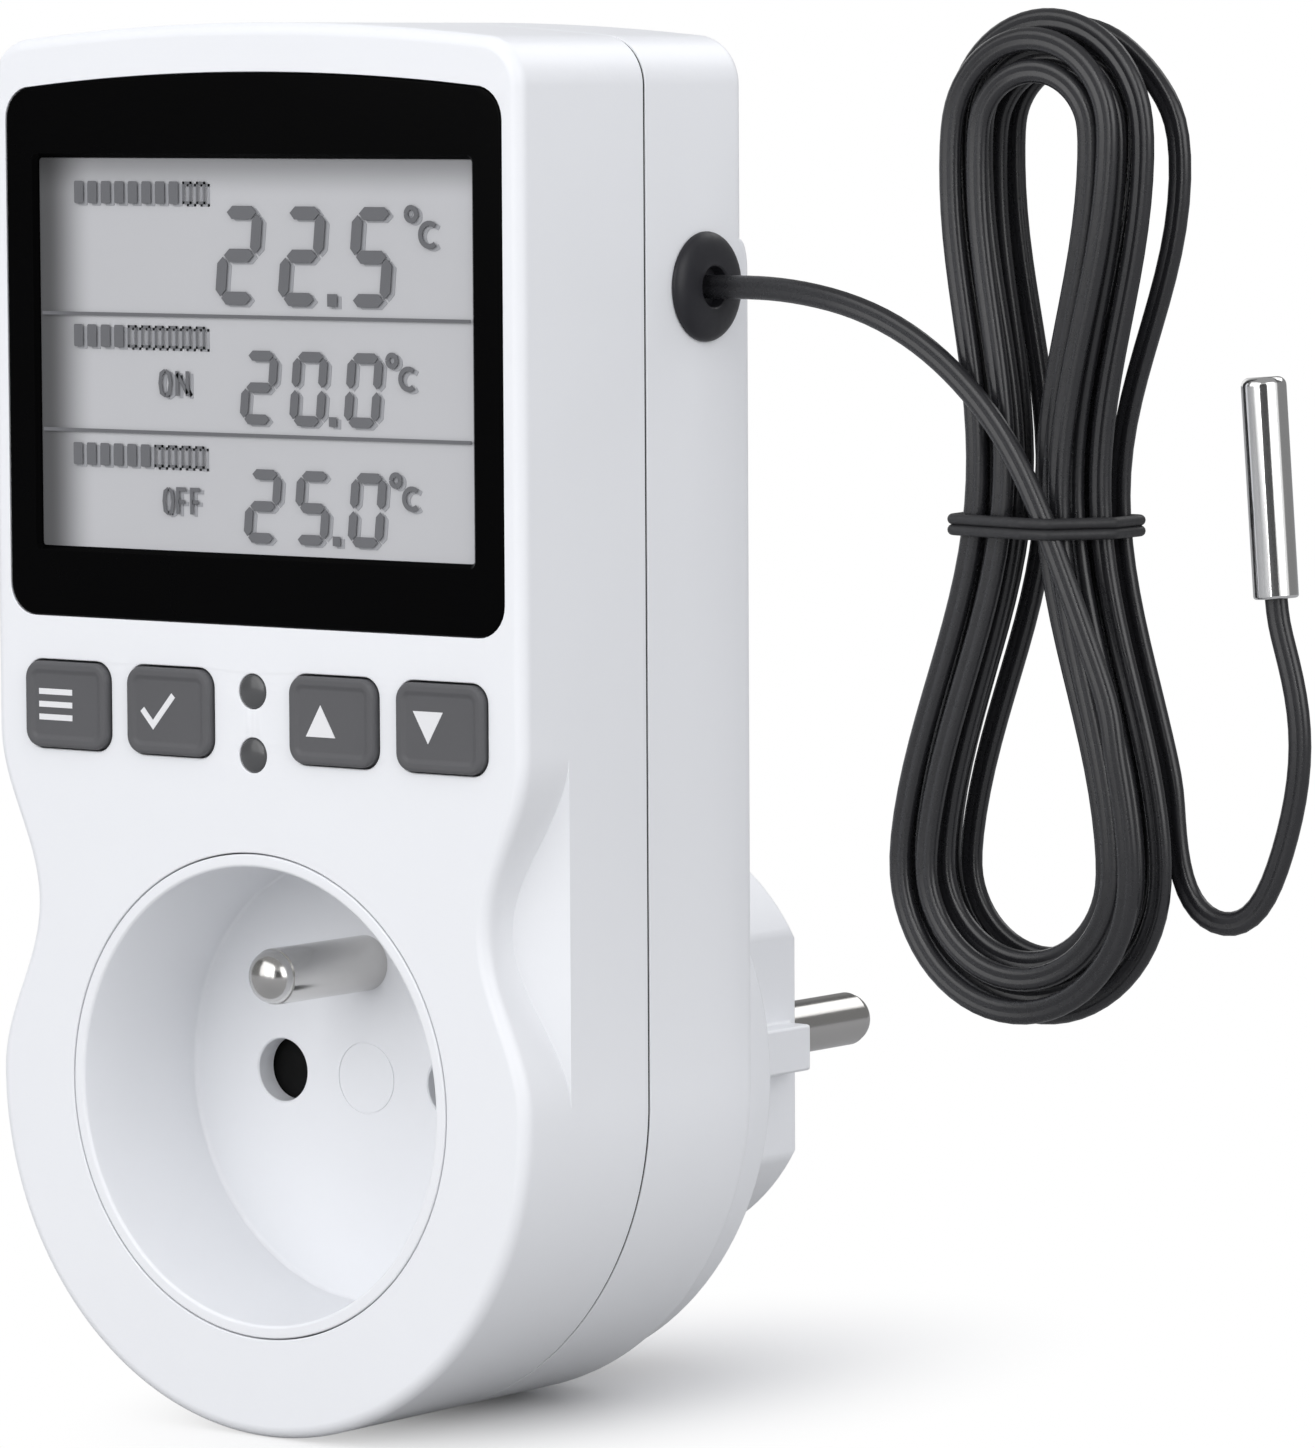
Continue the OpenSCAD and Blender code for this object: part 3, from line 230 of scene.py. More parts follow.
def window_outline(inset):
    half = half_w - window_margin - inset
    r = window_r - inset
    low = window_bottom + inset + r
    high = window_top - inset - arch_h - r
    corners = [arc_points(centre, r, start, start + 90, WINDOW_CORNER_STEPS) for centre, start in (
        ((r - half, low), 180), ((half - r, low), 270), ((half - r, high), 0), ((r - half, high), 90))]
    return corners[0] + corners[1] + corners[2] + arch(half - r, high + r, WINDOW_ARCH_STEPS) + corners[3]


def view_outline(grow, r, steps):
    """Outline of the display's opening, larger by grow on each side."""
    return rounded_outline(view_w + 2 * grow, view_h + 2 * grow, r, view_middle, steps)


def button_outline(x, grow):
    return rounded_outline(button_w + 2 * grow, button_h + 2 * grow, button_r + grow, (x, button_z))


def inside(point, loop):
    """True when a point lies inside a closed loop, by counting the edges that cross a line to its right."""
    nexts = np.roll(loop, -1, axis=0)
    crosses = (loop[:, 1] > point[1]) != (nexts[:, 1] > point[1])
    rise = np.where(crosses, nexts[:, 1] - loop[:, 1], 1.0)
    at = loop[:, 0] + (point[1] - loop[:, 1]) / rise * (nexts[:, 0] - loop[:, 0])
    return np.count_nonzero(crosses & (at > point[0])) % 2 == 1


class Shell:
    """A mesh under construction, made of rings of points that are joined by strips and flat areas."""

    def __init__(self):
        self.points = []
        self.faces = []

    def ring(self, points):
        first = len(self.points)
        self.points.extend(points)
        return list(range(first, len(self.points)))

    def flat_ring(self, outline, depth):
        """A ring at one depth behind the casing's face."""
        return self.ring([(x, y_front + depth, z) for x, z in outline])

    def circle(self, r, depth, centre=(0, 0), count=HOLE_STEPS):
        return self.flat_ring(circle_outline(r, centre, count), depth)

    def join(self, *rings):
        for a, b in zip(rings, rings[1:]):
            for i in range(len(a)):
                j = (i + 1) % len(a)
                self.faces.append((a[i], a[j], b[j], b[i]))

    def cap(self, ring):
        self.faces.append(tuple(ring))

    def fan(self, ring, point):
        tip = self.ring([point])[0]
        for i in range(len(ring)):
            self.faces.append((ring[i], ring[(i + 1) % len(ring)], tip))

    def fill(self, outer, holes=(), lines=()):
        """Triangles in X and Z inside one ring and outside others, also cut along lines between two points."""
        loops = [outer, *holes]
        ids = [i for loop in loops for i in loop]
        flat = [Vector((self.points[i][0], self.points[i][2])) for i in ids]
        edges = []
        first = 0
        for loop in loops:
            edges += [(first + k, first + (k + 1) % len(loop)) for k in range(len(loop))]
            first += len(loop)
        edges += [(ids.index(a), ids.index(b)) for a, b in lines]
        made, _, triangles, origins = geometry.delaunay_2d_cdt(flat, edges, [], 0, SAME_PLACE)[:4]
        outlines = [np.array([(self.points[i][0], self.points[i][2]) for i in loop]) for loop in loops]
        for triangle in triangles:
            centre = sum((made[i] for i in triangle), Vector((0, 0))) / 3
            if inside(centre, outlines[0]) and not any(inside(centre, hole) for hole in outlines[1:]):
                self.faces.append(tuple(ids[origins[i][0]] for i in triangle))


def quarter(r, steps):
    """A rounded edge as pairs: how far from the flat and how far from the wall, from the flat to the wall."""
    return [(r * (1 - math.cos(a)), r * (1 - math.sin(a))) for a in arc(steps, 0, 90)]


def dome(inner_r, outer_r, foot, top, steps):
    """A rounded end as pairs of radius and distance, from its foot at the outer radius to its top."""
    return [(between(inner_r, outer_r, math.cos(a)), between(foot, top, math.sin(a))) for a in arc(steps, 0, 90)]


# Materials: each is a node tree on object coordinates, scaled to the size of the real texture

BUILT = {}
# The range in which most of a noise's values lie
NOISE_RANGE = (0.3, 0.7)
DRIFT_SCALE = 60.0
GLOSS_DRIFT = 0.12
GRAIN_DETAIL = 4.0
GRAIN_DEPTH = 0.0002
COAT_ROUGHNESS = 0.08


def nodes_of(name):
    material = bpy.data.materials.new(name)
    material.use_nodes = True
    tree = material.node_tree
    return material, tree, tree.nodes["Principled BSDF"]


def ranged(tree, source, start, end, low, high, way="SMOOTHSTEP"):
    """Goes from low to high while its source goes from start to end."""
    made = tree.nodes.new("ShaderNodeMapRange")
    made.interpolation_type = way
    for name, value in (("From Min", start), ("From Max", end), ("To Min", low), ("To Max", high)):
        made.inputs[name].default_value = value
    tree.links.new(source, made.inputs["Value"])
    return made.outputs["Result"]


def wired(tree, kind, operation, *sources):
    """A node whose inputs take sources or numbers, in their order. Returns all its outputs."""
    made = tree.nodes.new(kind)
    if operation:
        made.operation = operation
    for i, source in enumerate(sources):
        if isinstance(source, bpy.types.NodeSocket):
            tree.links.new(source, made.inputs[i])
        else:
            made.inputs[i].default_value = source
    return made.outputs


def noise(tree, scale, detail=3.0, stretch=None):
    place = tree.nodes.new("ShaderNodeTexCoord").outputs["Object"]
    if stretch:
        place = wired(tree, "ShaderNodeVectorMath", "MULTIPLY", place, stretch)[0]
    texture = tree.nodes.new("ShaderNodeTexNoise")
    texture.inputs["Scale"].default_value = scale
    texture.inputs["Detail"].default_value = detail
    tree.links.new(place, texture.inputs["Vector"])
    return texture.outputs["Fac"]


def ramp(tree, factor, low, high):
    made = tree.nodes.new("ShaderNodeValToRGB")
    for element, position, colour in zip(made.color_ramp.elements, NOISE_RANGE, (low, high)):
        element.position = position
        element.color = (*colour, 1)
    tree.links.new(factor, made.inputs["Fac"])
    return made.outputs["Color"]


def bumped(tree, shader, height, strength, distance):
    made = tree.nodes.new("ShaderNodeBump")
    made.inputs["Strength"].default_value = strength
    made.inputs["Distance"].default_value = distance
    tree.links.new(height, made.inputs["Height"])
    tree.links.new(made.outputs["Normal"], shader.inputs["Normal"])


def surface(name, colour, roughness, vary=0.04, grain=1800.0, relief=0.03, metallic=0.0, coat=0.0,
            stretch=None, specular=0.5):
    """A moulded or plated finish: slight drift of colour, drift of gloss, and a fine grain in the surface."""
    if name in BUILT:
        return BUILT[name]
    material, tree, shader = nodes_of(name)
    drift = noise(tree, DRIFT_SCALE)
    dark = [c * (1 - vary) for c in colour]
    light = [min(c * (1 + vary), 1.0) for c in colour]
    tree.links.new(ramp(tree, drift, dark, light), shader.inputs["Base Color"])
    fine = noise(tree, grain, GRAIN_DETAIL, stretch)
    dull, glossy = roughness * (1 + GLOSS_DRIFT), roughness * (1 - GLOSS_DRIFT)
    tree.links.new(ranged(tree, fine, *NOISE_RANGE, glossy, dull, "LINEAR"), shader.inputs["Roughness"])
    bumped(tree, shader, fine, relief, GRAIN_DEPTH)
    values = {"Metallic": metallic, "Coat Weight": coat, "Coat Roughness": COAT_ROUGHNESS,
              "Specular IOR Level": specular}
    for field, value in values.items():
        shader.inputs[field].default_value = value
    BUILT[name] = material
    return material


# Each finish: colour, roughness, and where it differs from a plain plastic
FINISHES = {
    "white_casing": ((0.86, 0.87, 0.89), 0.36, dict(vary=0.006, grain=2600.0, relief=0.04)),
    "white_cup": ((0.86, 0.87, 0.89), 0.34, dict(vary=0.006, grain=1200.0, relief=0.004)),
    "shutter_plastic": ((0.006, 0.006, 0.006), 0.6, dict(specular=0.1)),
    "nickel": ((0.60, 0.59, 0.575), 0.18, dict(metallic=1.0, grain=900.0, stretch=(1.0, 0.12, 1.0))),
    "zinc": ((0.62, 0.63, 0.64), 0.32, dict(metallic=1.0)),
    "spring_steel": ((0.55, 0.55, 0.57), 0.3, dict(metallic=1.0)),
    "contact_brass": ((0.75, 0.60, 0.32), 0.3, dict(metallic=1.0, vary=0.08)),
    "black_window": ((0.0012, 0.0012, 0.0013), 0.2, dict(vary=0.1, relief=0.004, specular=0.03)),
    "display_glass": ((0.510, 0.512, 0.525), 0.4, dict(vary=0.012, relief=0.01, specular=0.2)),
    "green_board": ((0.03, 0.17, 0.08), 0.35, dict(vary=0.15)),
    "brown_board": ((0.12, 0.24, 0.11), 0.4, dict(vary=0.15)),
    "grey_button": ((0.105, 0.105, 0.110), 0.5, dict(vary=0.03, grain=2400.0, relief=0.06, specular=0.3)),
    "lamp_lens": ((0.07, 0.071, 0.073), 0.2, dict(coat=0.25, relief=0.005)),
    "small_parts": ((0.20, 0.14, 0.09), 0.5, dict(vary=0.2)),
    "link_pins": ((0.70, 0.55, 0.28), 0.3, dict(metallic=1.0)),
    "black_rubber": ((0.020, 0.020, 0.024), 0.42, dict(vary=0.08, grain=1500.0, relief=0.05, specular=0.35)),
    "cable_black": ((0.016, 0.016, 0.018), 0.28, dict(vary=0.12, grain=1300.0, relief=0.02, specular=0.6)),
    "tie_black": ((0.022, 0.022, 0.024), 0.55, dict(vary=0.1, grain=1500.0, relief=0.2)),
    "probe_steel": ((0.78, 0.78, 0.78), 0.12, dict(metallic=1.0, grain=700.0, relief=0.02,
                                                   stretch=(1.0, 1.0, 0.1))),
    "guide_plastic": ((0.72, 0.72, 0.70), 0.5, {}),
    "light_guide": ((0.85, 0.85, 0.81), 0.4, {}),
    "strip_rubber": ((0.50, 0.56, 0.64), 0.6, {}),
    "switch_plastic": ((0.03, 0.03, 0.03), 0.5, {}),
    "lamp_resin": ((0.80, 0.80, 0.75), 0.25, {}),
    "chip_resin": ((0.02, 0.02, 0.022), 0.55, {}),
    "relay_case": ((0.02, 0.02, 0.022), 0.35, {}),
    "capacitor_box": ((0.50, 0.07, 0.05), 0.4, {}),
    "capacitor_can": ((0.05, 0.06, 0.15), 0.35, {}),
    "varistor_blue": ((0.04, 0.12, 0.40), 0.35, {}),
    "fuse_ceramic": ((0.58, 0.51, 0.39), 0.6, {}),
    "diode_resin": ((0.03, 0.03, 0.03), 0.5, {}),
    "socket_plastic": ((0.80, 0.79, 0.73), 0.5, {}),
    "wire_blue": ((0.05, 0.14, 0.40), 0.45, {}),
    "display_ink": ((0.150, 0.152, 0.160), 0.5, dict(relief=0.01, specular=0.1)),
    # Painted shadow of the display's marks, in a paler grey than their ink
    "painted_shadow_grey": ((0.34, 0.345, 0.36), 0.5, dict(relief=0.01, specular=0.1)),
    "white_print": ((0.80, 0.80, 0.81), 0.5, dict(vary=0.02, relief=0.02)),
}


def finish(name):
    colour, roughness, differences = FINISHES[name]
    return surface(name, colour, roughness, **differences)


SMOOTH_ANGLE = math.radians(32)


def placed(name, data):
    obj = bpy.data.objects.new(name, data)
    bpy.context.scene.collection.objects.link(obj)
    return obj


def dressed(obj, slot_name, body, replaced):
    """Gives a piece its finish and its shading and the body that it rides on, and hides the nodes that it stands
    for.
    """
    obj.data.materials.append(finish(slot_name))
    for polygon in obj.data.polygons:
        polygon.use_smooth = True
    obj.data.set_sharp_from_angle(angle=SMOOTH_ANGLE)
    normals = obj.modifiers.new("even_normals", "WEIGHTED_NORMAL")
    normals.keep_sharp = True
    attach(obj, body)
    if replaced:
        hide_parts(*replaced)
    return obj


def piece(name, shell, slot_name, body=CASING, replaced=()):
    """Turns a shell into a finished piece in metres."""
    mesh = bpy.data.meshes.new(name)
    mesh.from_pydata([[c * MM for c in p] for p in shell.points], [], shell.faces)
    work = bmesh.new()
    work.from_mesh(mesh)
    bmesh.ops.remove_doubles(work, verts=work.verts, dist=SAME_PLACE)
    bmesh.ops.recalc_face_normals(work, faces=work.faces)
    work.to_mesh(mesh)
    work.free()
    return dressed(placed(name, mesh), slot_name, body, replaced)


def lathe(profile, place, axis, count=64):
    """A turned shell. The profile has pairs of radius and distance along the axis, and both ends lie on it."""
    shell = Shell()
    along = Vector(axis).normalized()
    side = along.orthogonal().normalized()
    other = along.cross(side)
    around = [math.cos(a) * side + math.sin(a) * other for a in arc(count, 0, 360)[:-1]]
    middles = [Vector(place) + distance * along for _, distance in profile]
    rings = [shell.ring([tuple(middle + r * way) for way in around])
             for (r, _), middle in zip(profile[1:-1], middles[1:-1])]
    shell.join(*rings)
    shell.fan(rings[0], tuple(middles[0]))
    shell.fan(rings[-1], tuple(middles[-1]))
    return shell


# Sensor's cable: one flat twin cable from the grommet through the hank to the probe

LEAD_ROUTE = [(33.8, 68.2), (37, 68.1), (41, 67.6), (45, 66.7), (49, 65.2), (52.5, 63.2), (55.5, 60.9),
              (58.4, 58.1), (60.9, 54.8), (62.9, 51.3), (64.6, 47.7), (66.2, 44.1), (67.7, 40.6), (69.1, 37.3),
              (70.3, 34.2)]
TAIL_ROUTE = [(71.6, 25), (71.9, 22.4), (72.4, 20.1), (73.3, 18.3), (74.7, 17), (76.5, 16.5), (78.3, 16.8),
              (79.9, 18), (81.2, 20.2), (82.2, 22.9), (83.1, 25.8), (83.7, 28.8), (83.9, 31.6), (83.7, 34.4),
              (83.1, 37), (82.4, 39.5)]
PROBE_MOUTH = (81.5, 43.5)
PROBE_TIP = (80.2, 61.4)
HANK_TOP = (61.4, 90.6, 9.6)
HANK_LOW = (59.6, 8.3, 12.6)
HANK_PULL = 5.3
HANK_LOOPS = 8
START_TURN = 0.34
CLIMB_TURNS = 0.5
LAYER_TURNS = (HANK_LOOPS - 3 * CLIMB_TURNS) / 4
SETTLE_TURNS = 0.25
HANK_BULGE = 2.0
BULGE_TURN = HANK_LOOPS + 0.15
BULGE_TURNS = 0.1
# A loop has two arcs and two runs, of a quarter of a turn each. A turn starts at the middle of the upper arc.
HALF_ARC = 0.125
RUN = 0.25
UPPER_Z = HANK_TOP[1] - HANK_TOP[2]
LOWER_Z = HANK_LOW[1] + HANK_LOW[2]
TIE_DROP = 2.0
LOOP_STEPS = 120
LEAD_STEPS = 3
TAIL_STEPS = 2
EASE_ROUNDS = 4


def track(turn, inset):
    """Place on a loop of the hank in X and Z, after a number of turns from the middle of its top."""
    u = turn % 1
    top = HANK_TOP[2] - inset
    low = HANK_LOW[2] - inset
    if u < HALF_ARC or u > 1 - HALF_ARC:
        a = math.radians(90 - 90 / HALF_ARC * (u - 1 if u > 0.5 else u))
        return HANK_TOP[0] + top * math.cos(a), UPPER_Z + top * math.sin(a)
    if abs(u - 0.5) < HALF_ARC:
        a = math.radians(-90 / HALF_ARC * (u - HALF_ARC - RUN))
        return HANK_LOW[0] + low * math.cos(a), LOWER_Z + low * math.sin(a)
    side = 1 if u < 0.5 else -1
    share = (u - HALF_ARC if u < 0.5 else 1 - HALF_ARC - u) / RUN
    pull = HANK_PULL * math.sin(math.pi * share) ** 2
    x = between(HANK_TOP[0] + side * top, HANK_LOW[0] + side * low, share) - side * pull
    return x, between(UPPER_Z, LOWER_Z, share)


def hank_point(t):
    """Place of the cable after t turns: in, climb, out, climb, in, climb, out, as its solid runs."""
    period = LAYER_TURNS + CLIMB_TURNS
    leg = min(3, int(t / period))
    within = min(LAYER_TURNS, t - leg * period)
    inset = hank_pitch * (within if leg % 2 == 0 else LAYER_TURNS - within)
    climb = max(0.0, t - leg * period - LAYER_TURNS) / CLIMB_TURNS if leg < 3 else 0.0
    layer = min(1.0, t / SETTLE_TURNS) + leg + climb
    x, z = track(START_TURN + t, inset)
    share = (START_TURN + t - BULGE_TURN) / BULGE_TURNS
    if abs(share) < 1:
        x += HANK_BULGE * math.cos(math.pi / 2 * share) ** 2
    return x, y_grommet + layer_pitch * layer, z


def curve_through(points, steps):
    """Smooth curve through points, with a number of steps between each two."""
    points = [Vector(p) for p in points]
    padded = [2 * points[0] - points[1], *points, 2 * points[-1] - points[-2]]
    made = []
    for i in range(1, len(padded) - 2):
        a, b, c, d = padded[i - 1:i + 3]
        for k in range(steps):
            t = k / steps
            made.append(0.5 * (2 * b + (c - a) * t + (2 * a - 5 * b + 4 * c - d) * t * t
                               + (3 * b - a - 3 * c + d) * t ** 3))
    return made + [points[-1]]


def eased(path, rounds):
    """The path with its small corners worn off and its ends kept."""
    path = np.array([tuple(p) for p in path])
    for _ in range(rounds):
        path[1:-1] = 0.25 * path[:-2] + 0.5 * path[1:-1] + 0.25 * path[2:]
    return [Vector(p) for p in path]


def probe_line(y):
    """The probe's mouth and its tip at one depth."""
    return [Vector((x, y, z)) for x, z in (PROBE_MOUTH, PROBE_TIP)]


def cable_path():
    hank = [Vector(hank_point(i / LOOP_STEPS)) for i in range(HANK_LOOPS * LOOP_STEPS + 1)]
    into_hank = (hank[1] - hank[0]).normalized()
    out_of_hank = (hank[-1] - hank[-2]).normalized()
    y_tail = hank[-1].y
    mouth, tip = probe_line(y_tail)
    into_probe = (tip - mouth).normalized()
    lead = [(lead_start_x, y_grommet, grommet_z), *((x, y_grommet, z) for x, z in LEAD_ROUTE)]
    lead += [hank[0] - cable_w * into_hank, hank[0]]
    tail = [hank[-1], hank[-1] + cable_w * out_of_hank, *((x, y_tail, z) for x, z in TAIL_ROUTE)]
    tail += [mouth - cable_w * into_probe, mouth]
    path = curve_through(lead, LEAD_STEPS)[:-1] + hank + curve_through(tail, TAIL_STEPS)[1:]
    return eased(path, EASE_ROUNDS)


def twin_section():
    """Two cores side by side, with a shallow groove between: pairs of width and thickness round the cable."""
    core_steps = 10
    groove_share = 0.86
    r = cable_t / 2
    offset = cable_w / 2 - r
    meet = math.degrees(math.acos(-offset / r * groove_share))
    right = arc_points((offset, 0), r, -meet, meet, core_steps)
    return right + [(-x, -y) for x, y in right]


def sweep(shell, path, section):
    rings = []
    for i, point in enumerate(path):
        step = path[min(i + 1, len(path) - 1)] - path[max(i - 1, 0)]
        ahead = Vector((step.x, 0, step.z)).normalized()
        side = Vector((-ahead.z, 0, ahead.x))
        rings.append(shell.ring([tuple(point + w * side + t * Vector((0, 1, 0))) for w, t in section]))
    shell.join(*rings)
    shell.cap(rings[0])
    shell.cap(rings[-1])


def make_cable():
    path = cable_path()
    shell = Shell()
    sweep(shell, path, twin_section())
    cable = piece("sensor_cable", shell, "cable_black", replaced=("sensor_lead", "sensor_hank", "sensor_tail"))
    inner_low, inner_high = box_mm("inner_lead")
    y_socket = inner_high.y - cable_t / 2
    turn_x = half_w - wall - cable_w
    inner = Shell()
    inner_path = [(inner_low.x, y_socket, grommet_z), (inner_low.x + cable_w, y_socket, grommet_z),
                  (turn_x, y_grommet, grommet_z), (lead_start_x, y_grommet, grommet_z)]
    sweep(inner, [Vector(p) for p in inner_path], twin_section())
    piece("inner_cable", inner, "cable_black", replaced=("inner_lead",))
    return cable, path


def make_tie(path):
    """Two turns of black wire drawn tight round all runs of the hank."""
    z = (UPPER_Z + LOWER_Z) / 2 - TIE_DROP
    wire_r = 0.46
    clear = 0.1
    rise = wire_r * 0.96
    wire_steps = 16
    turn_steps = 72
    half_run = Vector((cable_w * 0.53, cable_t * 0.3))
    held = []
    for a, b in zip(path, path[1:]):
        if (a.z - z) * (b.z - z) <= 0:
            held += [a.xy + half_run * Vector(way) for way in ((-1, -1), (-1, 1), (1, -1), (1, 1))]
    shell = Shell()
    for middle in (z - rise, z + rise):
        rings = []
        for a in arc(wire_steps, 0, 360)[:-1]:
            ring = []
            for turn in arc(turn_steps, 0, 360)[:-1]:
                away = Vector((math.cos(turn), math.sin(turn)))
                place = max(held, key=away.dot) + (wire_r + clear + wire_r * math.cos(a)) * away
                ring.append((place.x, place.y, middle + wire_r * math.sin(a)))
            rings.append(shell.ring(ring))
        shell.join(*rings, rings[0])
    return piece("wire_tie", shell, "tie_black", replaced=("hank_tie",))


def make_grommet():
    """A rubber dome with a recess that the cable leaves through."""
    flange_r = grommet_r - 1.2
    neck_r = 3.0
    crown_r = 2.0
    recess_r = 1.75
    recess_floor = 0.06
    slope = 0.1
    rim = 0.12
    rim_top = grommet_dome - 0.03
    rim_foot = grommet_dome - 0.15
    profile = [(0, -wall - gap), (flange_r, -wall - gap), (neck_r, -wall), (neck_r, 0)]
    profile += [(grommet_r - slope, 0), *dome(crown_r, grommet_r, rim, grommet_dome, 12)]
    profile += [(recess_r + rim, rim_top), (recess_r, rim_foot)]
    profile += [(recess_r - slope, recess_floor), (0, recess_floor)]
    shell = lathe(profile, (half_w, y_grommet, grommet_z), (1, 0, 0))
    piece("grommet", shell, "black_rubber", replaced=("cord_grommet",))


def make_probe(y_tail):
    """A steel tube with a closed tip, and a mouth that the cable enters."""
    r = (probe_high.y - probe_low.y) / 2
    mouth, tip = probe_line(y_tail)
    length = (tip - mouth).length
    rim = 0.25
    tip_r = 0.7
    bore = 1.15
    bore_d = 0.9
    slope = 0.1
    profile = [(0, bore_d), (bore, bore_d), (bore, slope), (bore + slope, 0)]
    profile += [(r - rim + rim * math.sin(a), rim * (1 - math.cos(a))) for a in arc(5, 0, 90)]
    profile += [*dome(r - tip_r, r, length - tip_r, length, 7), (0, length)]
    shell = lathe(profile, mouth, tip - mouth, HOLE_STEPS)
    return piece("temperature_probe", shell, "probe_steel", replaced=("sensor_probe",))


# Casing


def casing_ring(shell, depth, inset, pull=0.0, facet=0.0, cuts=()):
    """Ring of a cover. At the waist it comes forward by facet, and elsewhere by a little where facet is set."""
    least = 0.02 if facet else 0.0
    points = []
    for x, z in casing_outline(inset, pull * waist_pull, cuts):
        points.append((x, y_front + depth - max(least, facet * bump(z)), z))
    return shell.ring(points)


def opening(shell, outline, depth, lip):
    """Hole through the face: outline(grow) gives its loop. Returns its rings at the face and at its depth."""
    rings = [shell.flat_ring(outline(away), drop) for drop, away in quarter(lip, 4)]
    rings.append(shell.flat_ring(outline(0), depth))
    shell.join(*rings)
    return rings[0], rings[-1]


def make_front_cover():
    shell = Shell()
    button_slot = 0.16
    hole_lip = 0.12
    pocket_lip = 0.06
    fillet = [casing_ring(shell, drop, away, 1.0) for drop, away in quarter(edge_r, 9)]
    sides = [casing_ring(shell, waist_d, 0, 1.0, waist_d - waist_flat), casing_ring(shell, waist_d, 0)]
    sides += [casing_ring(shell, front_d - away, drop) for away, drop in reversed(quarter(seam_r, 3))]
    inner = [casing_ring(shell, front_d, wall), casing_ring(shell, waist_d + wall, wall),
             casing_ring(shell, face_wall, wall, 1.0)]
    shell.join(*fillet, *sides, *inner)
    through = [lambda grow: circle_outline(cup_r + cup_gap + grow, count=CUP_STEPS)]
    for x in button_x.values():
        through.append(lambda grow, x=x: button_outline(x, button_slot + grow))
    for z in lens_z.values():
        through.append(lambda grow, z=z: circle_outline(lens_r + fit + grow, (0, z), LENS_STEPS))
    holes = [opening(shell, outline, face_wall, hole_lip) for outline in through]
    pocket_face, pocket_floor = opening(shell, lambda grow: window_outline(-grow), window_t, pocket_lip)
    view = view_outline(gap, gap, 8)
    view_front = shell.flat_ring(view, window_t)
    view_back = shell.flat_ring(view, face_wall)
    shell.fill(pocket_floor, [view_front])
    shell.join(view_front, view_back)
    shell.fill(fillet[0], [face for face, _ in holes] + [pocket_face])
    shell.fill(inner[-1], [back for _, back in holes] + [view_back])
    piece("front_shell", shell, "white_casing", replaced=("front_cover",))


def make_rear_cover():
    """The upper part of its back stands a step lower than the rest, with a rounded edge between them."""
    shell = Shell()
    well_lip = 0.3
    same_height = 1e-6
    spigot_steps = 96
    line_z = body_top - strip_h - strip_round
    cuts = [line_z + strip_round * math.sin(a) for a in arc(6, 0, 90)]

    def side_ring(depth, inset):
        return casing_ring(shell, depth, inset, cuts=cuts)

    def back_ring(depth, inset):
        points = []
        for x, z in casing_outline(inset, 0.0, cuts):
            share = min(1.0, max(0.0, (z - line_z) / strip_round))
            points.append((x, y_front + depth - back_step * (1 - math.sqrt(1 - share * share)), z))
        return shell.ring(points)

    groove_end = front_d + groove_w
    sides = [side_ring(front_d, wall), side_ring(front_d, groove_d), side_ring(groove_end, groove_d),
             side_ring(groove_end, seam_r)]
    sides += [side_ring(groove_end + drop, away) for drop, away in quarter(seam_r, 3)[1:]]
    sides += [back_ring(pad_depth - drop, away) for drop, away in reversed(quarter(back_edge_r, 8))]
    inner = side_ring(inner_back, wall)
    shell.join(*sides)
    shell.join(inner, sides[0])
    back_holes = [shell.circle(plug_spigot_r, pad_depth, count=spigot_steps)]
    spigot_hole = shell.circle(plug_spigot_r, inner_back, count=spigot_steps)
    shell.join(back_holes[0], spigot_hole)
    for side in (-1, 1):
        centre = (side * upper_screw[0], upper_screw[1])
        rings = [shell.circle(screw_head_hole_r + away, pad_depth - back_step - drop, centre)
                 for drop, away in quarter(well_lip, 4)]
        rings += [shell.circle(r, depth, centre) for r, depth in (
            (screw_head_hole_r, screw_head_seat), (screw_hole_r, screw_head_seat), (screw_hole_r, front_d),
            (upper_boss_r, front_d), (upper_boss_r, inner_back + gap))]
        shell.join(*rings)
        back_holes.append(rings[0])
    lines = [[i for i in sides[-1] if abs(shell.points[i][2] - z) < same_height] for z in cuts]
    shell.fill(sides[-1], back_holes, lines)
    shell.fill(inner, [spigot_hole])
    make_seam_shade()
    piece("rear_shell", shell, "white_casing", replaced=("rear_cover",))


def make_seam_shade():
    """Dark strip at the bottom of the groove between the covers, a painted shade that stands for the shadow in
    the gap.
    """
    sunk = 0.12
    shell = Shell()
    near, far = front_d + fit / 2, front_d + groove_w - fit / 2
    rings = [casing_ring(shell, depth, inset) for depth, inset in (
        (near, groove_d - fit), (near, sunk), (far, sunk), (far, groove_d - fit))]
    shell.join(*rings, rings[0])
    # The black here is painted shade for the gap between the covers
    piece("seam_painted_shade", shell, "black_rubber")


# Socket


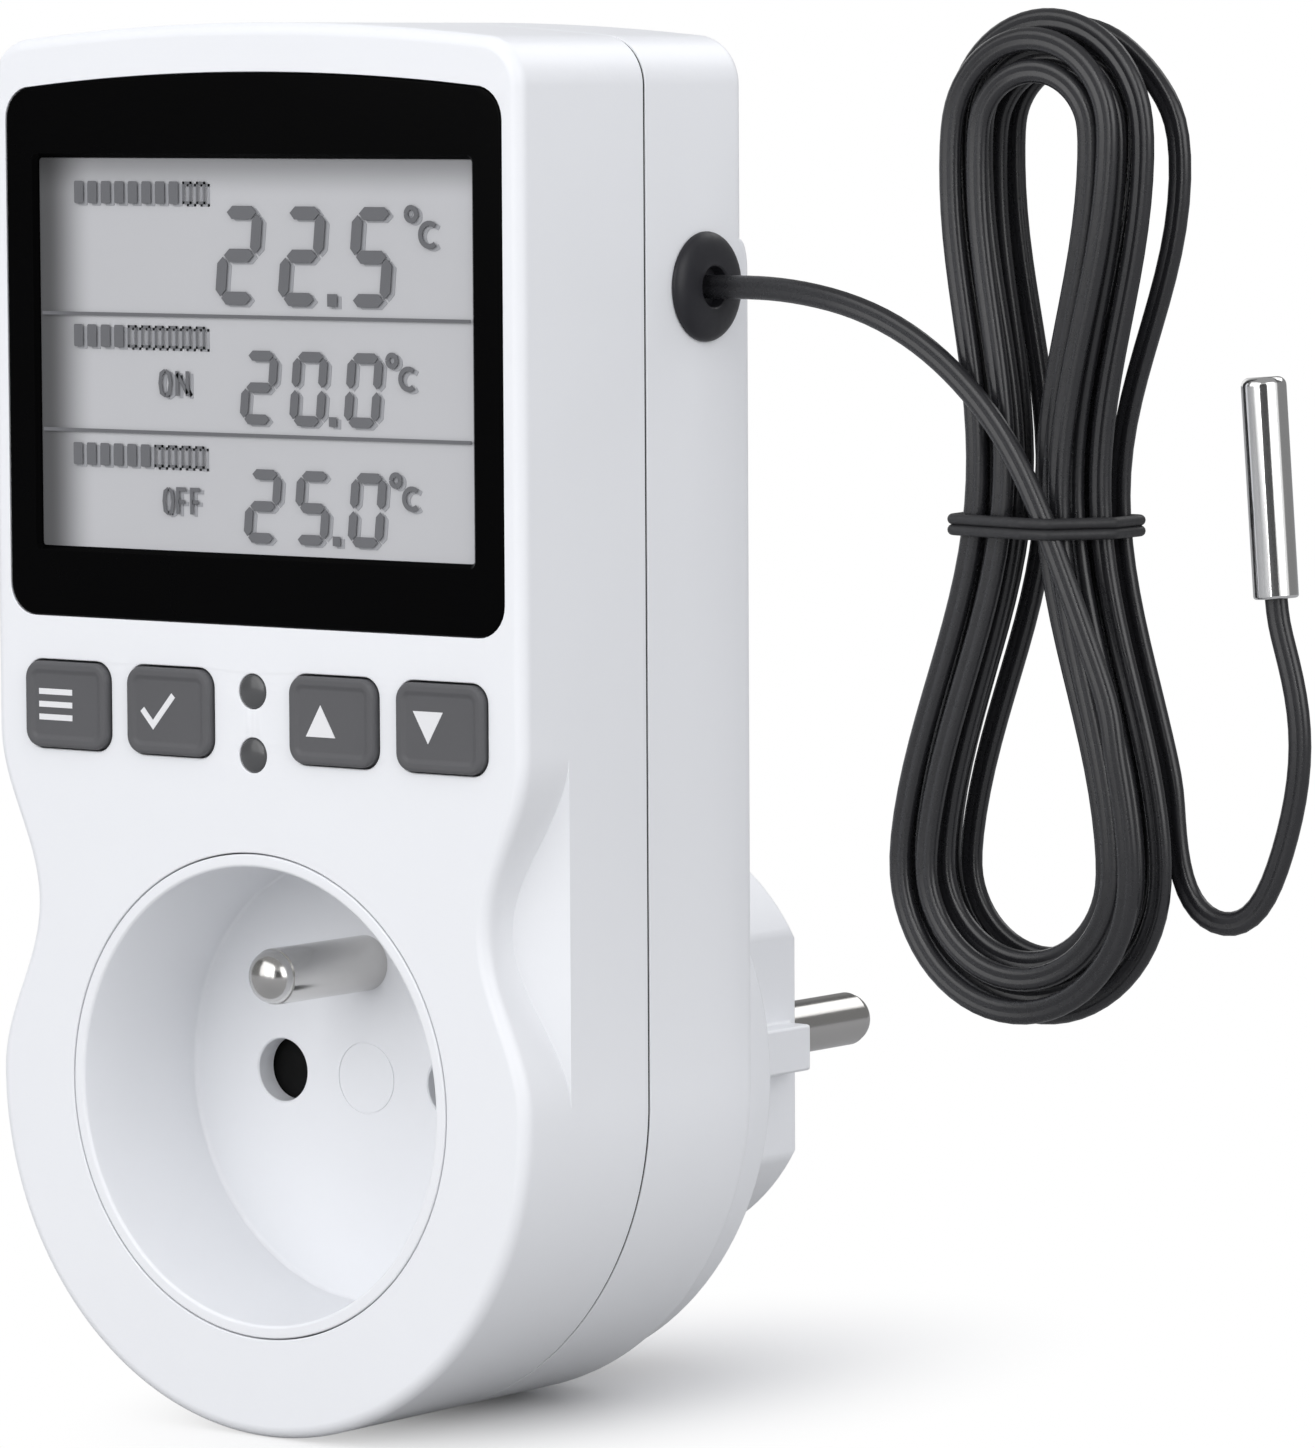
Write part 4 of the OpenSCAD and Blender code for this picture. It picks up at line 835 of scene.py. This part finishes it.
def make_cup():
    shell = Shell()
    floor_back = cup_depth + cup_floor
    rim_out = 0.15
    rim_in = 0.3
    floor_round = 0.35
    hole_edge = 0.12
    groove_steps = 64
    holes = []
    backs = []

    def turn(r, depth):
        return shell.circle(r, depth, count=CUP_STEPS)

    def drill(centre, *sizes):
        rings = [shell.circle(r, depth, centre) for r, depth in sizes]
        shell.join(*rings)
        holes.append(rings[0])
        backs.append(rings[-1])

    outside = [turn(cup_r, floor_back)]
    outside += [turn(cup_r - away, drop) for away, drop in quarter(rim_out, 5)]
    rim = [turn(cup_bore_r + away, drop) for drop, away in quarter(rim_in, 5)]
    corner = dome(cup_bore_r - floor_round, cup_bore_r, cup_depth - floor_round, cup_depth, 6)
    bore = [turn(r, depth) for r, depth in corner]
    shell.join(*outside, *rim, *bore)
    for side in (-1, 1):
        drill((side * pin_pitch / 2, 0), (hole_r + hole_edge, cup_depth), (hole_r, cup_depth + hole_edge),
              (hole_r, floor_back))
    drill((0, earth_z), (root_r + fit, cup_depth), (root_r + fit, floor_back))
    groove = [shell.circle(r, depth, count=groove_steps) for r, depth in (
        (ring_r + ring_w, cup_depth), (ring_r + ring_w, cup_depth + ring_d), (ring_r, cup_depth + ring_d),
        (ring_r, cup_depth))]
    shell.join(*groove)
    shell.fill(groove[-1])
    shell.fill(bore[-1], [*holes, groove[0]])
    shell.fill(outside[0], backs)
    piece("socket_recess", shell, "white_cup", replaced=("socket_cup",))


def pin_profile(length):
    """A round pin from the face that it stands on: straight, a narrow chamfer and a domed tip."""
    edge = 0.12
    tip = 1.7
    straight = [(earth_r, 0), (earth_r, length - tip - edge)]
    return straight + dome(0, earth_r - edge, length - tip, length, 10)


def make_pins():
    """The pins have a narrower root in the plate they stand on, and a wider head behind it."""
    floor = y_front + cup_depth
    length = floor - box_mm("earth_pin")[0].y
    profile = [(0, -cup_floor - rivet_h), (rivet_r, -cup_floor - rivet_h), (rivet_r, -cup_floor),
               (root_r, -cup_floor), (root_r, 0), *pin_profile(length)]
    shell = lathe(profile, (0, floor, earth_z), (0, -1, 0))
    piece("socket_earth_pin", shell, "nickel", replaced=("earth_pin",))
    head = -plug_face - pin_root
    for side, name in ((-1, "live"), (1, "neutral")):
        low, high = box_mm("plug_pin_" + name)
        profile = [(0, low.y), (earth_r / 2, low.y), (earth_r / 2, head), (rivet_r, head),
                   (rivet_r, -plug_face), (root_r, -plug_face), (root_r, 0), *pin_profile(high.y)]
        shell = lathe(profile, (side * pin_pitch / 2, 0, 0), (0, 1, 0))
        piece("pin_" + name, shell, "nickel", replaced=("plug_pin_" + name,))


# Display


def make_window():
    shell = Shell()
    edge = 0.25
    bevel = 0.35
    front = [shell.flat_ring(window_outline(fit + away), drop) for drop, away in quarter(edge, 4)]
    back = shell.flat_ring(window_outline(fit), window_t)
    view = [shell.flat_ring(view_outline(away, view_r + away, 4), drop)
            for drop, away in ((0, bevel), (bevel, 0), (window_t, 0))]
    shell.join(*front, back)
    shell.join(*view)
    shell.fill(front[0], [view[0]])
    shell.fill(back, [view[-1]])
    piece("black_window", shell, "black_window", replaced=("window_frame",))


def printed(name, outlines, near, far, look, slot_name, body=CASING):
    """Thin marks between two depths, joined in one piece. Their look replaces the finish of the slot they lie
    on.
    """
    shell = Shell()
    for outline in outlines:
        front = shell.flat_ring(outline, near)
        back = shell.flat_ring(outline, far)
        shell.join(front, back)
        shell.fill(front)
        shell.fill(back)
    piece(name, shell, slot_name, body).data.materials[0] = finish(look)


# Marks are drawn from strokes: a stroke is a line with a width, as a closed outline in X and Z


def stroke(points, width):
    """Outline of a line through points, with square ends and pointed corners."""
    points = [Vector(p) for p in points]
    left = []
    right = []
    for i, point in enumerate(points):
        before = (point - points[i - 1]).normalized() if i else None
        after = (points[i + 1] - point).normalized() if i < len(points) - 1 else None
        ahead = ((before or after) + (after or before)).normalized()
        side = Vector((-ahead.y, ahead.x))
        lean = abs(ahead.dot(after or before))
        left.append(point + side * width / 2 / lean)
        right.append(point - side * width / 2 / lean)
    return [tuple(p) for p in left + right[::-1]]


def round_stroke(centre, r, start, end, width, steps=16):
    return stroke(arc_points(centre, r, start, end, steps), width)


SEGMENTS = {"0": "abcdef", "2": "abged", "5": "afgcd"}


def digit(character, corner, w, h, width):
    """Segments of one figure, leaning to the right. Corner is its lower left."""
    cut = width * 0.12
    x0, x1 = width / 2, w - width / 2
    z0, z1, z2 = width / 2, h / 2, h - width / 2
    ends_of = {"a": ((x0, z2), (x1, z2)), "b": ((x1, z1), (x1, z2)), "c": ((x1, z0), (x1, z1)),
               "d": ((x0, z0), (x1, z0)), "e": ((x0, z0), (x0, z1)), "f": ((x0, z1), (x0, z2)),
               "g": ((x0, z1), (x1, z1))}
    made = []
    for name in SEGMENTS[character]:
        a, b = (Vector(p) for p in ends_of[name])
        ahead = (b - a).normalized()
        side = Vector((-ahead.y, ahead.x)) * width / 2
        a, b = a + ahead * cut, b - ahead * cut
        inner_a, inner_b = a + ahead * width / 2, b - ahead * width / 2
        loop = [a, inner_a + side, inner_b + side, b, inner_b - side, inner_a - side]
        made.append([(corner[0] + p.x + SLANT * p.y, corner[1] + p.y) for p in loop])
    return made


def slab(x, z, w, h):
    """A rectangle, from its lower left corner."""
    return [(x, z), (x + w, z), (x + w, z + h), (x, z + h)]


def degree(corner, h, width):
    """A degree sign and a C, from their lower left corner."""
    x, z = corner
    ring_size = h * 0.17
    ring_middle = (x + ring_size, z + h - ring_size)
    c_r = h * 0.30
    c_middle = (x + 2 * ring_size + c_r + width, z + c_r)
    rings = [round_stroke(ring_middle, ring_size, start, start + 180, width) for start in (0, 180)]
    return [*rings, round_stroke(c_middle, c_r, 50, 310, width)]


LETTERS = {
    "O": [[(0.5, 0), (0.12, 0.12), (0, 0.5), (0.12, 0.88), (0.5, 1)],
          [(0.5, 1), (0.88, 0.88), (1, 0.5), (0.88, 0.12), (0.5, 0)]],
    "N": [[(0, 0), (0, 1)], [(0, 0.9), (1, 0.1)], [(1, 0), (1, 1)]],
    "F": [[(0, 0), (0, 1), (0.9, 1)], [(0.1, 0.5), (0.75, 0.5)]],
}


def word(letters, corner, w, h, width, space):
    made = []
    for i, letter in enumerate(letters):
        for line in LETTERS[letter]:
            left = corner[0] + i * (w + space)
            made.append(stroke([(left + x * w, corner[1] + z * h) for x, z in line], width))
    return made


def bar_marks(corner, filled):
    """A row of short bars, the first ones solid and the rest open."""
    w, h, count = BAR_ROW
    pitch = w / count
    thick = pitch * 0.66
    edge = thick * 0.22
    round_r = 0.12
    x, z = corner
    made = []
    for i in range(count):
        if i < filled:
            made.append(rounded_outline(thick, h, round_r, (x + thick / 2, z + h / 2), 2))
        else:
            made += [slab(x + side, z, edge, h) for side in (0, thick - edge)]
            made += [slab(x, z + rise, thick, edge) for rise in (0, h - edge)]
        x += pitch
    return made


SLANT = 0.1
ROW_LINES = (65.9, 55.95)
# Each row of bars: its width, its height and how many bars there are
BAR_ROW = (15.3, 1.9, 10)
UNIT_LINE = 0.42
# Each row: figures, their lower left corner, width, height, line width and pitch; the unit's corner and height;
# the corner of the bars and how many of them are filled
ROWS = [
    ("22.5", (-4.0, 66.9), 4.6, 8.3, 1.1, 6.9, (16.9, 72.0), 3.2, (-19.7, 75.3), 8),
    ("20.0", (-1.4, 56.9), 3.75, 6.2, 0.85, 5.45, (14.8, 60.2), 2.8, (-19.9, 63.1), 4),
    ("25.0", (-1.1, 46.95), 3.75, 6.2, 0.85, 5.45, (15.1, 50.3), 2.8, (-20.1, 53.0), 6),
]
# Each word: letters, lower left corner, a letter's width and height, line width and the space between letters
WORDS = [
    ("ON", (-10.2, 59.1), 1.15, 2.1, 0.36, 0.75),
    ("OFF", (-9.9, 49.1), 1.0, 2.1, 0.34, 0.55),
]
# The decimal point: how far back it is as a share of the space between figures, its size as a share of their
# line width, and its step as a share of their pitch
POINT_BACK = 0.62
POINT_SIZE = 0.95
POINT_STEP = 0.09


def display_marks():
    """All the marks of the display, in three rows."""
    marks = []
    for figures, (x, z), w, h, width, pitch, unit_corner, unit_h, bars, filled in ROWS:
        for character in figures:
            if character == ".":
                marks.append(slab(x - (pitch - w) * POINT_BACK, z, width * POINT_SIZE, width * POINT_SIZE))
                x += pitch * POINT_STEP
            else:
                marks += digit(character, (x, z), w, h, width)
                x += pitch
        marks += degree(unit_corner, unit_h, UNIT_LINE)
        marks += bar_marks(bars, filled)
    for letters in WORDS:
        marks += word(*letters)
    return marks


def make_display():
    """The panel fills the window's opening from behind. Its marks lie over a painted shadow of themselves: a
    paler copy, shifted right and down.
    """
    low, high = box_mm("lcd_panel")
    near = 0.5
    ink_lift = 0.22
    painted_shadow_lift = 0.04
    ink_t = 0.03
    shadow_shift_x, shadow_shift_z = 0.34, -0.2
    line_left = 0.4 - view_w / 2
    line_right = view_w / 2 - 0.2
    line_w = 0.3
    shell = Shell()
    view = view_outline(-fit, view_r, 3)
    edge = rounded_outline(high.x - low.x, high.z - low.z, view_r, view_middle, 3)
    rings = [shell.flat_ring(view, near), shell.flat_ring(view, face_wall), shell.flat_ring(edge, face_wall),
             shell.flat_ring(edge, high.y - y_front)]
    shell.join(*rings)
    shell.fill(rings[0])
    shell.fill(rings[-1])
    shade_edges(piece("display_panel", shell, "display_glass", replaced=("lcd_panel",)))
    marks = display_marks()
    lines = [stroke([(line_left, z), (line_right, z)], line_w) for z in ROW_LINES]
    # Painted shadow of the marks: a paler copy shifted right and down, just in front of the panel
    painted_shadows = [[(x + shadow_shift_x, z + shadow_shift_z) for x, z in loop] for loop in marks]
    for name, outlines, lift, look in (("display_marks", marks + lines, ink_lift, "display_ink"),
                                       ("display_painted_shadow", painted_shadows, painted_shadow_lift, "painted_shadow_grey")):
        printed(name, outlines, near - lift, near - lift + ink_t, look, "display_glass")


def shade_edges(panel):
    """Darkens the panel towards its left side and its top, where the window's edge shades it."""
    tree = panel.data.materials[0].node_tree
    shader = tree.nodes["Principled BSDF"]
    colour = shader.inputs["Base Color"].links[0].from_socket
    place = tree.nodes.new("ShaderNodeTexCoord").outputs["Object"]
    split = wired(tree, "ShaderNodeSeparateXYZ", None, place)
    left = -view_w / 2
    # Axis, where the shade is deepest, where it ends, and the share of light at its deepest
    shades = (("X", left + 0.8, left + 6.2, 0.17), ("Z", view_top, view_top - 3.4, 0.5))
    for axis, near, far, least in shades:
        share = ranged(tree, split[axis], near * MM, far * MM, least, 1.0)
        product = tree.nodes.new("ShaderNodeVectorMath")
        product.operation = "SCALE"
        tree.links.new(colour, product.inputs[0])
        tree.links.new(share, product.inputs["Scale"])
        colour = product.outputs[0]
    tree.links.new(colour, shader.inputs["Base Color"])


# Buttons and indicators


def symbol(name):
    """Plain white mark of a button, left of its middle: three lines, a tick, or an arrow up or down."""
    left_of_middle = 1.2
    x = button_x[name] - left_of_middle
    if name == "mode_button":
        half, pitch, width = 1.9, 1.1, 0.5
        heights = [button_z + row * pitch for row in (-1, 0, 1)]
        return [stroke([(x - half, z), (x + half, z)], width) for z in heights]
    if name == "set_button":
        tick, width = ((-1.7, 0.1), (-0.5, -1.2), (1.8, 1.4)), 0.55
        return [stroke([(x + dx, button_z + dz) for dx, dz in tick], width)]
    half, rise = 1.6, 1.35 if name == "up_button" else -1.35
    return [[(x - half, button_z - rise), (x + half, button_z - rise), (x, button_z + rise)]]


def make_button(name):
    """A cap with a rounded edge and a dished top, and a flange behind the face that holds it in."""
    x = button_x[name]
    shell = Shell()
    seat = face_wall + gap
    round_r = 0.3
    rim = 0.35
    dish = 0.5
    dish_steps = 6
    sunk = 0.16
    least_r = 0.4
    flange_t = 0.8
    flange_grow = 2.4
    flange_r = 0.2
    mark_over = 0.03
    mark_under = 0.02

    def loop(inset, depth):
        r = max(button_r - inset, least_r)
        outline = rounded_outline(button_w - 2 * inset, button_h - 2 * inset, r, (x, button_z))
        return shell.flat_ring(outline, depth)

    flange = rounded_outline(button_w, button_h + flange_grow, flange_r, (x, button_z))
    rings = [shell.flat_ring(flange, seat + flange_t), shell.flat_ring(flange, seat), loop(0, seat)]
    rings += [loop(away, drop - button_proud) for drop, away in reversed(quarter(round_r, 5))]
    rings.append(loop(round_r + rim, -button_proud))
    for i in range(1, dish_steps + 1):
        share = i / dish_steps
        depth = sunk * math.sin(math.pi / 2 * share) ** 1.5 - button_proud
        rings.append(loop(round_r + rim + dish * share, depth))
    shell.join(*rings)
    shell.fill(rings[-1])
    shell.fill(rings[0])
    piece(name.replace("_button", "_cap"), shell, "grey_button", name, (name,))
    face = sunk - button_proud
    mark_name = name.replace("_button", "_mark")
    printed(mark_name, symbol(name), face - mark_over, face + mark_under, "white_print", "grey_button", name)


def make_lens(name):
    """A domed lens with a flange behind the face."""
    back = box_mm(name)[1].y - y_front
    proud = 0.2
    dome_foot = 0.15
    flange_w = 0.7
    flange_t = 1.0
    seat = face_wall + flange_t
    flange_r = lens_r + flange_w
    profile = [(0, back), (lens_r, back), (lens_r, seat), (flange_r, seat), (flange_r, face_wall),
               (lens_r, face_wall), *dome(0, lens_r, dome_foot, -proud, 8)]
    shell = lathe(profile, (0, y_front, lens_z[name]), (0, 1, 0), LENS_STEPS)
    piece(name.replace("_lamp_lens", "_indicator"), shell, "lamp_lens", replaced=(name,))


# Pieces whose solids have the right shape, with their edges broken

SLOTS = {part["node"]: part["material_slot"] for part in frame["record"]["subparts"]}
SOLID_SAME_PLACE = 2e-6
FLAT_ANGLE = math.radians(0.8)
BEVEL_ANGLE = math.radians(40)


def softened(node, name, width):
    """A copy of a solid's surface with its hard edges rounded."""
    mesh = frame["nodes"][node].data.copy()
    mesh.name = name
    work = bmesh.new()
    work.from_mesh(mesh)
    bmesh.ops.remove_doubles(work, verts=work.verts, dist=SOLID_SAME_PLACE)
    bmesh.ops.dissolve_limit(work, angle_limit=FLAT_ANGLE, verts=work.verts, edges=work.edges)
    work.to_mesh(mesh)
    work.free()
    if mesh.has_custom_normals:
        mesh.attributes.remove(mesh.attributes["custom_normal"])
    mesh.materials.clear()
    obj = placed(name, mesh)
    bevel = obj.modifiers.new("broken_edges", "BEVEL")
    bevel.width = width * MM
    bevel.segments = 2
    bevel.limit_method = "ANGLE"
    bevel.angle_limit = BEVEL_ANGLE
    bevel.use_clamp_overlap = True
    return dressed(obj, SLOTS[node], CASING, (node,))


# Scene around the object


def dress_solids():
    """Gives each solid that still shows its finish."""
    for name, obj in frame["nodes"].items():
        obj.data.materials.clear()
        obj.data.materials.append(finish(SLOTS[name]))


WORLD_LIGHT = 0.84
SOFT_COLOUR = (0.95, 0.96, 1.0)
# What shiny surfaces see of the room: a direction, the range of its share over which the light changes, and the
# light before and after that range. In front, at the left, behind, and above.
ROOM_SHADES = [
    ((0.52, -0.85, 0.0), 0.86, 0.91, 1.0, 0.07),
    ((-0.84, -0.54, 0.0), 0.74, 0.82, 1.0, 0.22),
    ((0.30, 0.95, 0.0), 0.46, 0.58, 1.0, 0.25),
    ((0.0, 0.0, 1.0), 0.35, 0.65, 1.0, 0.35),
]
# How pale the floor is to the camera, and to the light that it throws back
FLOOR_SEEN = 0.84
FLOOR_BOUNCE = 0.40
# The floor's shadow: the place that it lies round, and its reach in X and Y
SHADOW_MIDDLE = (6.0, -16.0)
SHADOW_REACH = (36.0, 62.0)
SHADOW_CORE = 0.1
FLOOR_HALF = 3.0
FLOOR_ROUGHNESS = 0.9


def mixed(tree, factor, low, high):
    return wired(tree, "ShaderNodeMixShader", None, factor, low, high)[0]


def make_world():
    """Soft light all round and white for the camera. Shiny surfaces see a room with darker parts."""
    world = bpy.data.worlds.new("studio")
    bpy.context.scene.world = world
    world.use_nodes = True
    tree = world.node_tree
    tree.nodes.clear()

    def background(colour, strength):
        return wired(tree, "ShaderNodeBackground", None, (*colour, 1), strength)[0]

    path = tree.nodes.new("ShaderNodeLightPath").outputs
    ahead = tree.nodes.new("ShaderNodeTexCoord").outputs["Generated"]
    light = None
    for direction, near, far, low, high in ROOM_SHADES:
        toward = wired(tree, "ShaderNodeVectorMath", "DOT_PRODUCT", ahead, direction)["Value"]
        here = ranged(tree, toward, near, far, low, high)
        light = wired(tree, "ShaderNodeMath", "MULTIPLY", light, here)[0] if light else here
    white = background((1, 1, 1), 1.0)
    room = mixed(tree, light, background((0, 0, 0), 0.0), white)
    seen = mixed(tree, path["Is Glossy Ray"], background(SOFT_COLOUR, WORLD_LIGHT), room)
    seen = mixed(tree, path["Is Camera Ray"], seen, white)
    wired(tree, "ShaderNodeOutputWorld", None, seen)


def make_floor():
    """White floor with the object's shadow. Away from the object it glows for the camera, so no edge is seen."""
    mesh = bpy.data.meshes.new("floor")
    z = body_bottom * MM
    corners = [(x * FLOOR_HALF, y * FLOOR_HALF, z) for x, y in ((-1, -1), (1, -1), (1, 1), (-1, 1))]
    mesh.from_pydata(corners, [], [(0, 1, 2, 3)])
    material, tree, shader = nodes_of("floor_white")
    shader.inputs["Roughness"].default_value = FLOOR_ROUGHNESS
    shader.inputs["Specular IOR Level"].default_value = 0.0
    to_camera = tree.nodes.new("ShaderNodeLightPath").outputs["Is Camera Ray"]
    colour = ranged(tree, to_camera, 0.0, 1.0, FLOOR_BOUNCE, FLOOR_SEEN, "LINEAR")
    tree.links.new(colour, shader.inputs["Base Color"])
    place = tree.nodes.new("ShaderNodeTexCoord").outputs["Object"]
    scale = [1 / MM / reach for reach in SHADOW_REACH]
    shift = [-middle / reach for middle, reach in zip(SHADOW_MIDDLE, SHADOW_REACH)]
    spread = wired(tree, "ShaderNodeVectorMath", "MULTIPLY_ADD", place, (*scale, 0), (*shift, 0))[0]
    away = wired(tree, "ShaderNodeVectorMath", "LENGTH", spread)["Value"]
    share = ranged(tree, away, SHADOW_CORE, 1.0, 0.0, 1.0)
    glowing = wired(tree, "ShaderNodeMath", "MULTIPLY", share, to_camera)[0]
    glow = wired(tree, "ShaderNodeEmission", None, (1, 1, 1, 1))[0]
    output = next(node for node in tree.nodes if node.type == "OUTPUT_MATERIAL")
    tree.links.new(mixed(tree, glowing, shader.outputs[0], glow), output.inputs["Surface"])
    mesh.materials.append(material)
    floor = placed("floor", mesh)


def area_light(name, place, aim, size, power):
    light = bpy.data.lights.new(name, "AREA")
    light.shape = "RECTANGLE"
    light.size, light.size_y = size
    light.energy = power
    obj = placed(name, light)
    obj.location = place
    obj.rotation_euler = (Vector(place) - Vector(aim)).to_track_quat("Z", "Y").to_euler()


def make_lights():
    """The key stands left of the camera. Place and size are in metres and power is in watts."""
    aim = (0.01, -0.03, 0.03)
    area_light("key", (-0.30, -1.20, 0.55), aim, (1.3, 1.1), 6.2)
    area_light("fill", (1.1, -0.4, 0.5), aim, (0.9, 0.9), 4.1)
    area_light("back", (0.2, 1.0, 0.9), aim, (0.9, 0.6), 3.0)
    area_light("strip", (0.25, -1.2, 0.35), aim, (0.06, 0.9), 1.1)


# The photograph's view: the camera's angles in degrees, its distance from a point of the casing, and its shift
# to the right and up from there
VIEW_AZIMUTH = 37.6
VIEW_ELEVATION = 4.96
VIEW_ROLL = -0.3
VIEW_DISTANCE = 652.0
VIEW_TARGET = (0.0, -39.4, 30.8)
VIEW_RIGHT = 24.95
VIEW_UP = -0.35
FOCAL_PIXELS = 7600.0
IMAGE_HEIGHT = 1448.0
SENSOR = 36.0
NEAREST = 0.05
FARTHEST = 20.0


def make_camera():
    a, e = math.radians(VIEW_AZIMUTH), math.radians(VIEW_ELEVATION)
    back = Vector((math.sin(a) * math.cos(e), -math.cos(a) * math.cos(e), math.sin(e)))
    right = Vector((math.cos(a), math.sin(a), 0))
    up = back.cross(right)
    place = Vector(VIEW_TARGET) + VIEW_RIGHT * right + VIEW_UP * up + VIEW_DISTANCE * back
    data = bpy.data.cameras.new("camera")
    data.sensor_width = SENSOR
    data.lens = FOCAL_PIXELS * SENSOR / IMAGE_HEIGHT
    data.clip_start = NEAREST
    data.clip_end = FARTHEST
    camera = placed("camera", data)
    turn = Matrix((right, up, back)).transposed().to_4x4() @ Matrix.Rotation(math.radians(VIEW_ROLL), 4, "Z")
    camera.matrix_world = Matrix.Translation(place * MM) @ turn
    bpy.context.scene.camera = camera


def build():
    bpy.context.scene.view_settings.view_transform = "Standard"
    make_camera()
    cable, path = make_cable()
    make_grommet()
    probe = make_probe(path[-1].y)
    tie = make_tie(path)
    make_front_cover()
    make_rear_cover()
    make_cup()
    make_pins()
    make_window()
    make_display()
    for name in button_x:
        make_button(name)
    for name in lens_z:
        make_lens(name)
    softened("plug_body", "plug_moulding", 0.8)
    softened("earth_clips", "clips", 0.12)
    dress_solids()
    make_world()
    make_floor()
    make_lights()


build()
